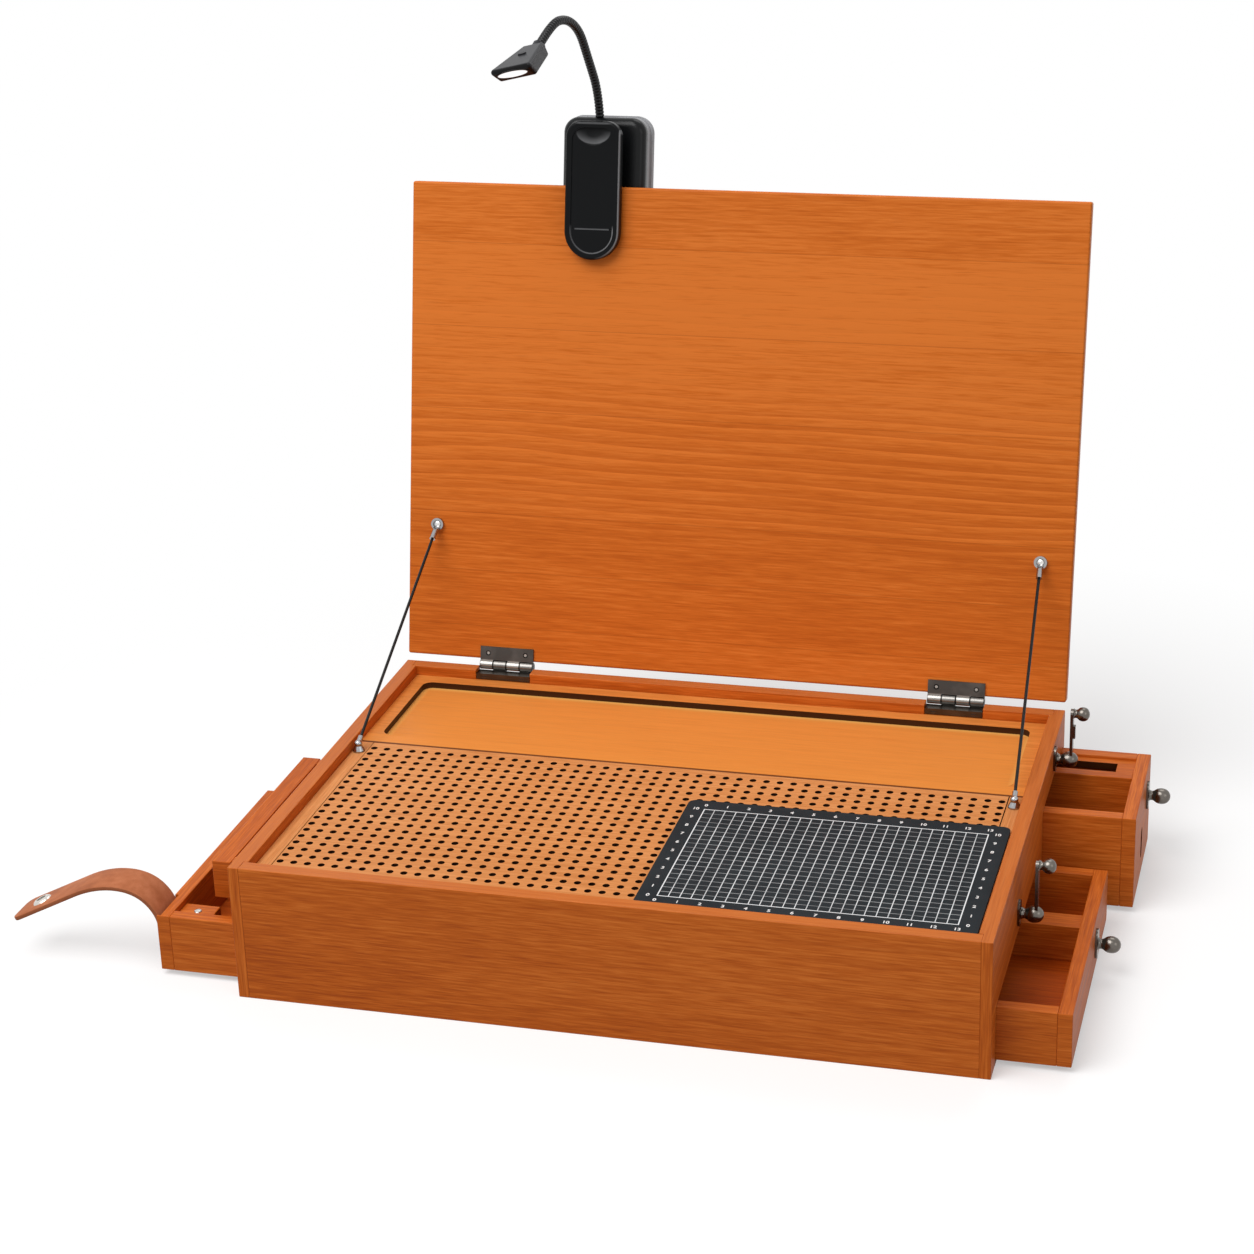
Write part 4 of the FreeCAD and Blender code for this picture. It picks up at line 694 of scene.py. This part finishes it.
NUMBER_INK = ((0.66, 0.66, 0.65), (0.90, 0.90, 0.89))
GRIP_PITCH = 0.0017

# Noise and pebble scales
BRUSHED_SCALE = (60, 900, 900)
CLOUD_SCALE = 90.0
DUST_SCALE = 300.0
SMEAR_SCALE = 55.0
SPECKLE_SCALE = 900.0
LEATHER_PEBBLE = 1300.0
LEATHER_CLOUD = 60.0
LEATHER_FINE = 1800.0
MAT_WEAR = 45.0
MAT_SPECK = 1500.0
MAT_CLOUD = 28.0
INK_WEAR = 700.0


def metal(paint, colour, rough, strength=0.08):
    """Brushed metal with a cloudy worn tone over a colour or a painted mask."""
    place = paint.place()
    lines = paint.noise(paint.mapped(place, BRUSHED_SCALE), 1.0, 3.0, 0.6)
    cloud = paint.noise(place, CLOUD_SCALE, 2.0, 0.5)
    worn = paint.span(cloud, 0.45, 0.75)
    base = paint.mix(worn * 0.06, colour, WORN_BRIGHT)
    return paint.finish(Base_Color=base, Metallic=1.0, Roughness=lines * 0.08 + cloud * 0.06 + (rough - 0.07),
                        Normal=paint.bump(lines, strength, 0.0001))


def plain_metal(name, colour, rough, strength=0.08):
    return metal(Paint(name), colour, rough, strength)


def hinge_metal(name, barrel_colour):
    """Dark leaf with knuckles painted paler as a painted highlight, and a painted shade line at each knuckle's end.
    """
    paint = Paint(name)
    place = paint.place()
    y = paint.axis(place, "Y") - HINGE_Y
    z = paint.axis(place, "Z") - HINGE_Z
    barrel = paint.fall(distance(y, z), *KNUCKLE_EDGE)
    step = (abs(paint.axis(place, "X")) - HINGE_X) / KNUCKLE_LENGTH + 0.5
    # Painted shade: a dark band where each knuckle meets the next
    gap = paint.within(step.math("FRACT"), *KNUCKLE_GAP) * barrel
    # Painted highlight: the knuckles paler than the leaf
    colour = paint.mix(barrel, LEAF_DARK, barrel_colour)
    return metal(paint, paint.mix(gap, colour, GAP_DARK), 0.30)


def lid_screw_metal():
    """Dark hinge screws with a bright middle, and bright eye screws above them."""
    paint = Paint("lid_screw_metal")
    place = paint.place()
    across = abs(abs(paint.axis(place, "X")) - HINGE_X) - HINGE_SCREW_OUT
    up = paint.lid_height() - HINGE_SCREW_UP
    dot = paint.fall(distance(across, up), *SCREW_DOT_EDGE)
    low = paint.mix(dot, GAP_DARK, SCREW_DOT)
    high = paint.span(paint.axis(place, "Z"), *EYE_SCREWS_FROM)
    return metal(paint, paint.mix(high, low, EYE_SCREW), 0.28)


def snap_metal():
    """Bright snap ring round a darker socket."""
    paint = Paint("snap_nickel")
    low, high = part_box("strap_snap")
    middle = (Vector(low) + Vector(high)) / 2
    reach = paint.node("ShaderNodeVectorMath", "Value", {"operation": "DISTANCE"}, {0: paint.place(), 1: middle})
    socket = paint.fall(reach, SNAP_SOCKET, SNAP_SOCKET + EDGE_SOFT)
    return metal(paint, paint.mix(socket, SNAP_RING, SNAP_DARK), 0.25)


def moulded(name, colour, rough, shine=0.12, grain=2400.0, strength=0.10):
    paint = Paint(name)
    place = paint.place()
    pebble = paint.cells(place, grain)
    dust = paint.span(paint.noise(place, SMEAR_SCALE, 4.0, 0.6), 0.50, 0.75)
    base = paint.mix(dust * 0.20, colour, tuple(c * 1.4 + 0.003 for c in colour))
    return paint.finish(Base_Color=base, Roughness=dust * 0.10 + rough, Specular_IOR_Level=shine,
                        Normal=paint.bump(pebble, strength, 0.00006))


def jaw_plastic():
    """Clip jaw: black, with painted highlights along its rim and top edge, on the lip under the thumb scoop, and as
    lines across and round its foot.
    """
    paint = Paint("clip_jaw_black")
    place = paint.place()
    across = paint.axis(place, "X") - LAMP_X
    up = paint.lid_height()
    below = (up - JAW_ROUND).math("MINIMUM", 0.0)
    reach = distance(across, below)
    right = paint.span(across, *FOOT_SHADE)
    foot = paint.within(reach, *FOOT_BAND) * paint.fall(up, *FOOT_FADE)
    line = paint.within(up, *LINE_BAND) * paint.within(across, *LINE_REACH)
    rim = paint.within(reach, *RIM_BAND) * paint.span(across, *RIM_FADE)
    edge = paint.within(up, *EDGE_BAND) * paint.within(across, *EDGE_REACH)
    z = (up - (JAW_TOP - SCOOP_DROP)) / SCOOP_HALF[1]
    oval = distance(across / SCOOP_HALF[0], z)
    lip = paint.span(oval, 0.40, 0.97) * paint.fall(oval, 0.97, 1.04) * paint.span(z, 0.15, -0.65)
    # Painted highlights: foot, line, rim, top edge and scoop lip
    pale = (foot * right).math("MAXIMUM", line * 0.8).math("MAXIMUM", rim).math("MAXIMUM", edge * 0.4)
    pale = pale.math("MAXIMUM", lip * 0.55)
    dust = paint.noise(place, DUST_SCALE, 3.0, 0.6)
    base = paint.mix(pale, JAW_BLACK, JAW_HIGHLIGHT)
    return paint.finish(Base_Color=base, Roughness=dust * 0.08 + 0.28, Specular_IOR_Level=0.10,
                        Normal=paint.bump(dust, 0.05, 0.00005))


def housing_plastic():
    """Battery housing: black in front, grey towards its back half."""
    paint = Paint("lamp_housing_plastic")
    place = paint.place()
    back = paint.along(place, LID_BACK) - LID_BACK.dot(HINGE_LINE)
    grey = paint.span(back, *HOUSING_SPLIT)
    dust = paint.noise(place, DUST_SCALE, 3.0, 0.6)
    base = paint.mix(grey, HOUSING_BLACK, COVER_GREY)
    return paint.finish(Base_Color=base, Roughness=grey * 0.12 + dust * 0.06 + 0.22, Specular_IOR_Level=0.2,
                        Normal=paint.bump(dust, 0.05, 0.00005))


def head_plastic():
    """Lamp head: a top painted greyer as a painted sheen, black nose, fine grip ribs on its sides."""
    paint = Paint("lamp_head_plastic")
    place, normal = paint.place(), paint.normal()
    top = paint.span(paint.along(normal, HEAD_TOP), 0.75, 0.97)
    nose = paint.span(paint.along(normal, HEAD_NOSE), 0.25, 0.55)
    flank = paint.span(abs(paint.along(normal, HEAD_ACROSS)), 0.70, 0.85)
    rib = (paint.along(place, HEAD_NOSE) * (2 * math.pi / GRIP_PITCH)).math("SINE")
    cloud = paint.noise(place, CLOUD_SCALE, 3.0, 0.6)
    # Painted sheen: the faces turned to the head's top painted greyer
    base = paint.mix(top * (cloud * 0.2 + 0.8), HEAD_SHADE, HEAD_TOP_SHEEN)
    base = paint.mix(flank * paint.span(rib, -0.4, 0.6, 0.4, 1.0), base, GRIP_GREY)
    base = paint.mix(nose, base, NOSE_BLACK)
    return paint.finish(Base_Color=base, Roughness=cloud * 0.06 + 0.30, Specular_IOR_Level=0.12,
                        Normal=paint.bump(rib * flank, 0.4, 0.0002))


def lens_glow():
    """Frosted oval in a dark rim."""
    paint = Paint("frosted_lens")
    low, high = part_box("lamp_lens")
    middle = (Vector(low) + Vector(high)) / 2
    place = paint.place()
    x = (paint.along(place, HEAD_ACROSS) - HEAD_ACROSS.dot(middle)) / GLOW_HALF[0]
    z = (paint.along(place, HEAD_SLOPE) - HEAD_SLOPE.dot(middle)) / GLOW_HALF[1]
    rim = paint.span(distance(x, z), 0.98, 1.06)
    speckle = paint.noise(place, SPECKLE_SCALE, 2.0, 0.5)
    base = paint.mix(rim, LENS_BASE, NOSE_BLACK)
    pale = paint.mix(paint.span(speckle, 0.4, 0.7), *LENS_GLOW)
    glow = paint.mix(rim, pale, BLACK)
    return paint.finish(Base_Color=base, Roughness=speckle * 0.1 + 0.25, Emission_Color=glow, Emission_Strength=1.0,
                        Specular_IOR_Level=0.2)


def tan_leather():
    paint = Paint("tan_leather")
    place = paint.place()
    pebble = paint.cells(place, LEATHER_PEBBLE)
    cloud = paint.span(paint.noise(place, LEATHER_CLOUD, 4.0, 0.6), 0.30, 0.70)
    fine = paint.noise(place, LEATHER_FINE, 2.0, 0.5)
    base = paint.ramp(cloud * 0.7 + fine * 0.3, LEATHER)
    edge = paint.span(abs(paint.axis(paint.normal(), "Y")), 0.45, 0.85)
    base = paint.mix(edge * 0.65, base, LEATHER_EDGE)
    return paint.finish(Base_Color=base, Roughness=cloud * 0.12 + 0.55, Specular_IOR_Level=0.08,
                        Normal=paint.bump(pebble * 0.7 + fine * 0.3, 0.20, 0.0002))


def mat_grid():
    """Corners of the mat, and the lower corner and size of its printed grid."""
    low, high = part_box("cutting_mat")
    start = [low[axis] + GRID_MARGIN for axis in (0, 1)]
    size = [high[axis] - low[axis] - 2 * GRID_MARGIN for axis in (0, 1)]
    return low, high, start, size


def printed_mat():
    """Charcoal mat with a pale printed grid: bright lines across, fainter lines along."""
    paint = Paint("printed_mat")
    start, size = mat_grid()[2:]
    place = paint.place()
    x, y = paint.axis(place, "X"), paint.axis(place, "Y")

    def lines(value, axis, width):
        cell = size[axis] / GRID_CELLS[axis]
        share = ((value - start[axis]) / cell + 0.5).math("FRACT") - 0.5
        return paint.within(share * cell, 0.0, width / 2, LINE_SOFT)

    def centred(value, axis):
        return abs(value - (start[axis] + size[axis] / 2))

    def border(value, axis, width):
        return paint.within(centred(value, axis), size[axis] / 2, width / 2, LINE_SOFT)

    def inside(value, axis):
        return paint.within(centred(value, axis), 0.0, size[axis] / 2 + LINE_SOFT, LINE_SOFT)

    worn = paint.span(paint.noise(place, MAT_WEAR, 4.0, 0.6), 0.34, 0.60)
    upright = lines(x, 0, UPRIGHT_LINE) * (worn * 0.30 + 0.62)
    level = lines(y, 1, LEVEL_LINE) * (worn * 0.20 + 0.20)
    rim = border(x, 0, BORDER_LINE).math("MAXIMUM", border(y, 1, BORDER_LINE)) * 0.95
    ink = upright.math("MAXIMUM", level).math("MAXIMUM", rim) * inside(x, 0) * inside(y, 1)
    speck = paint.noise(place, MAT_SPECK, 3.0, 0.6)
    cloud = paint.span(paint.noise(place, MAT_CLOUD, 3.0, 0.6), 0.35, 0.65)
    ground = paint.mix(cloud * 0.6 + speck * 0.4, *MAT_GROUND)
    return paint.finish(Base_Color=paint.mix(ink, ground, GRID_INK), Roughness=speck * 0.12 + 0.55,
                        Specular_IOR_Level=0.08, Normal=paint.bump(speck, 0.10, 0.0001))


def number_ink():
    paint = Paint("number_ink")
    wear = paint.span(paint.noise(paint.place(), INK_WEAR, 2.0, 0.5), 0.35, 0.6)
    base = paint.mix(wear, *NUMBER_INK)
    return paint.finish(Base_Color=base, Roughness=wear * 0.1 + 0.5)


MATERIALS = {
    "case_ends": case_wood("case_wood_ends", seed=0.0, ends="Z"),
    "case_sides": case_wood("case_wood_sides", along="Y", seed=2.7, ends="Z"),
    "lid": oiled_wood("lid_wood", "lid", seed=7.9, rings=1.0, seams=LID_SEAMS, belt=LID_BELT),
    "tray": tray_wood(),
    "strip": oiled_wood("strip_wood", "deck", 0.44, along="Y", seed=6.4, rings=0.4),
    "peg": peg_wood(),
    "boards": oiled_wood("drawer_wood", "case", seed=9.2, ends="Y"),
    "insert": insert_wood(),
    "faces": face_wood(),
    "bottoms": oiled_wood("drawer_bottom_wood", "bottom", 0.5, seed=13.3, rings=0.4),
    "inner": oiled_wood("inner_wood", "inner", 0.5, seed=15.0, ends="Y"),
    "mat": printed_mat(),
    "steel": plain_metal("screw_steel", (0.60, 0.59, 0.57), 0.28),
    "dark_screw": plain_metal("dark_screw", (0.10, 0.095, 0.09), 0.32),
    "lid_screw": lid_screw_metal(),
    # One gunmetal in two copies: the lid leaf's knuckles painted paler as lit, the case leaf's darker as shaded
    "lid_leaf": hinge_metal("lid_leaf_gunmetal", (0.30, 0.285, 0.265)),
    "case_leaf": hinge_metal("case_leaf_gunmetal", (0.19, 0.18, 0.168)),
    "polished": plain_metal("polished_steel", (0.36, 0.36, 0.365), 0.18, 0.03),
    "pewter": plain_metal("brown_pewter", (0.135, 0.120, 0.105), 0.24),
    "snap": snap_metal(),
    "cable": moulded("cable_sheath", (0.008, 0.008, 0.008), 0.38, 0.2),
    "lamp": housing_plastic(),
    "jaw": jaw_plastic(),
    "lamp_switch": moulded("lamp_switch_black", (0.026, 0.026, 0.029), 0.35),
    "lamp_head": head_plastic(),
    "lamp_cover": moulded("lamp_cover_grey", COVER_GREY, 0.40, 0.1, strength=0.03),
    "neck": moulded("neck_black", (0.005, 0.005, 0.0055), 0.20, 0.25),
    "lens": lens_glow(),
    "leather": tan_leather(),
    "ink": number_ink(),
}

NODE_FINISH = {
    "case_ends": ("front_wall", "back_wall"),
    "case_sides": ("left_wall", "right_wall"),
    "lid": ("lid_panel",),
    "tray": ("rear_tray_board",),
    "strip": ("deck_strips",),
    "peg": ("peg_panel",),
    "boards": ("front_drawer_boards", "rear_drawer_boards", "lower_drawer_boards", "upper_tray_boards",
               "lower_drawer_corner_block"),
    "insert": ("rear_drawer_insert",),
    "faces": ("front_drawer_face", "rear_drawer_face", "lower_drawer_face", "upper_tray_face"),
    "bottoms": ("front_drawer_bottom", "rear_drawer_bottom", "lower_drawer_bottom", "upper_tray_floor"),
    "inner": ("bottom_panel", "centre_partition", "cross_partition", "tray_shelf", "drawer_guides", "deck_battens"),
    "mat": ("cutting_mat",),
    "steel": ("lower_drawer_screws", "clip_pin"),
    "dark_screw": ("case_screws",),
    "lid_screw": ("lid_screws",),
    "lid_leaf": ("left_hinge_lid_leaf", "right_hinge_lid_leaf"),
    "case_leaf": ("left_hinge_case_leaf", "right_hinge_case_leaf", "hinge_pins"),
    "polished": ("left_stay_eye", "right_stay_eye", "left_stay_ferrule", "right_stay_ferrule"),
    "pewter": ("front_latch_plate", "rear_latch_plate", "front_latch_lever", "rear_latch_lever",
               "front_drawer_knob", "rear_drawer_knob"),
    "snap": ("strap_snap",),
    "lamp": ("lamp_housing",),
    "jaw": ("clip_jaw",),
    "lamp_switch": ("lamp_switch",),
    "lamp_head": ("lamp_head",),
    "lamp_cover": ("lamp_rear_cover",),
    "lens": ("lamp_lens",),
}


def finish_nodes():
    for finish, names in NODE_FINISH.items():
        for name in names:
            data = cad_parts[name].data
            data.materials.clear()
            data.materials.append(MATERIALS[finish])


# Numbers on the mat

def mat_numbers():
    low, high, start, size = mat_grid()
    cell = [size[axis] / GRID_CELLS[axis] for axis in (0, 1)]
    marks = []
    for step in range(0, GRID_CELLS[0] + 1, NUMBER_EVERY):
        for y in (low[1] + NUMBER_INSET, high[1] - NUMBER_INSET):
            marks.append((str(step // NUMBER_EVERY), start[0] + step * cell[0], y))
    for step in range(0, GRID_CELLS[1] + 1, NUMBER_EVERY):
        for x in (low[0] + NUMBER_INSET, high[0] - NUMBER_INSET):
            marks.append((str(step // NUMBER_EVERY), x, start[1] + step * cell[1]))

    def letter(shape):
        for text, x, y in marks:
            curve = bpy.data.curves.new("mark", "FONT")
            curve.body = text
            curve.size = NUMBER_SIZE
            curve.align_x = "CENTER"
            curve.align_y = "CENTER"
            curve.extrude = NUMBER_THICK
            curve.offset = NUMBER_BOLD
            holder = bpy.data.objects.new("mark", curve)
            data = bpy.data.meshes.new_from_object(holder)
            data.transform(Matrix.Translation((x, y, high[2] + NUMBER_LIFT)))
            shape.from_mesh(data)
            drop(holder)
            bpy.data.meshes.remove(data)

    numbers = closed_piece("mat_numbers", mesh_of("marks", letter), MATERIALS["ink"], smooth=False)
    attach(numbers, "case")


# Floor and light

FLOOR_SIZE = 8.0
NEAR_FLOOR = 0.32
FAR_FLOOR = 0.72
FLOOR_SHIFT = 0.06
NEAR_GLOW = (0.42, 0.42, 0.42)
PALE_FLOOR = ((0.585, 0.585, 0.585), (0.605, 0.605, 0.605))
BOUNCED = (0.38, 0.38, 0.38)
WHITE = (1.0, 1.0, 1.0)
SKY_LEVEL = 0.34

# Lamps: name, place, what it points at, size across and power in watts
STUDIO_LAMPS = (
    ("key", (-0.8, -1.15, 2.35), (0.0, 0.0, 0.15), 2.2, 60.0),
    ("fill", (1.9, -1.2, 1.3), (0.0, 0.0, 0.1), 1.4, 5.0),
    ("back", (0.3, 1.3, 2.2), (0.0, 0.0, 0.2), 1.2, 8.0),
)


def floor_material():
    """Pale floor that keeps the shadow near the object and is white further off."""
    paint = Paint("pale_floor")
    place = paint.place()
    x, y = paint.axis(place, "X") - FLOOR_SHIFT, paint.axis(place, "Y")
    far = paint.span(distance(x, y), NEAR_FLOOR, FAR_FLOOR)
    seen = paint.seen()
    pale = paint.mix(paint.noise(place, 3.0, 2.0, 0.5), *PALE_FLOOR)
    base = paint.mix(seen, BOUNCED, paint.mix(far, pale, BLACK))
    glow = paint.mix(seen, BLACK, paint.mix(far, NEAR_GLOW, WHITE))
    return paint.finish(Base_Color=base, Roughness=0.9, Specular_IOR_Level=0.0, Emission_Color=glow,
                        Emission_Strength=1.0)


def stage():
    data = mesh_of("floor", lambda shape: bmesh.ops.create_grid(shape, x_segments=1, y_segments=1, size=FLOOR_SIZE))
    data.materials.append(floor_material())
    floor = add_object("floor", data)


def area_light(name, place, target, size, power):
    data = bpy.data.lights.new(name, "AREA")
    data.shape = "DISK"
    data.size = size
    data.energy = power
    lamp = add_object(name, data)
    lamp.location = place
    lamp.rotation_euler = (Vector(target) - Vector(place)).to_track_quat("-Z", "Y").to_euler()


def world_light(level):
    """A plain sky that is white where it is seen, and dimmer where it lights the object."""
    world = bpy.data.worlds.new("studio")
    world.use_nodes = True
    bpy.context.scene.world = world
    sky = Nodes(world.node_tree)
    background = sky.tree.nodes["Background"]
    sky.feed(background.inputs["Color"], WHITE)
    sky.feed(background.inputs["Strength"], sky.span(sky.seen(), 0.0, 1.0, level, 1.0))


bpy.context.scene.view_settings.view_transform = "Standard"
camera()
stay_cable("left", -1, MATERIALS["cable"])
stay_cable("right", 1, MATERIALS["cable"])
finish_nodes()
leather_strap(MATERIALS["leather"])
gooseneck(MATERIALS["neck"])
mat_numbers()
stage()
world_light(SKY_LEVEL)
for studio_lamp in STUDIO_LAMPS:
    area_light(*studio_lamp)
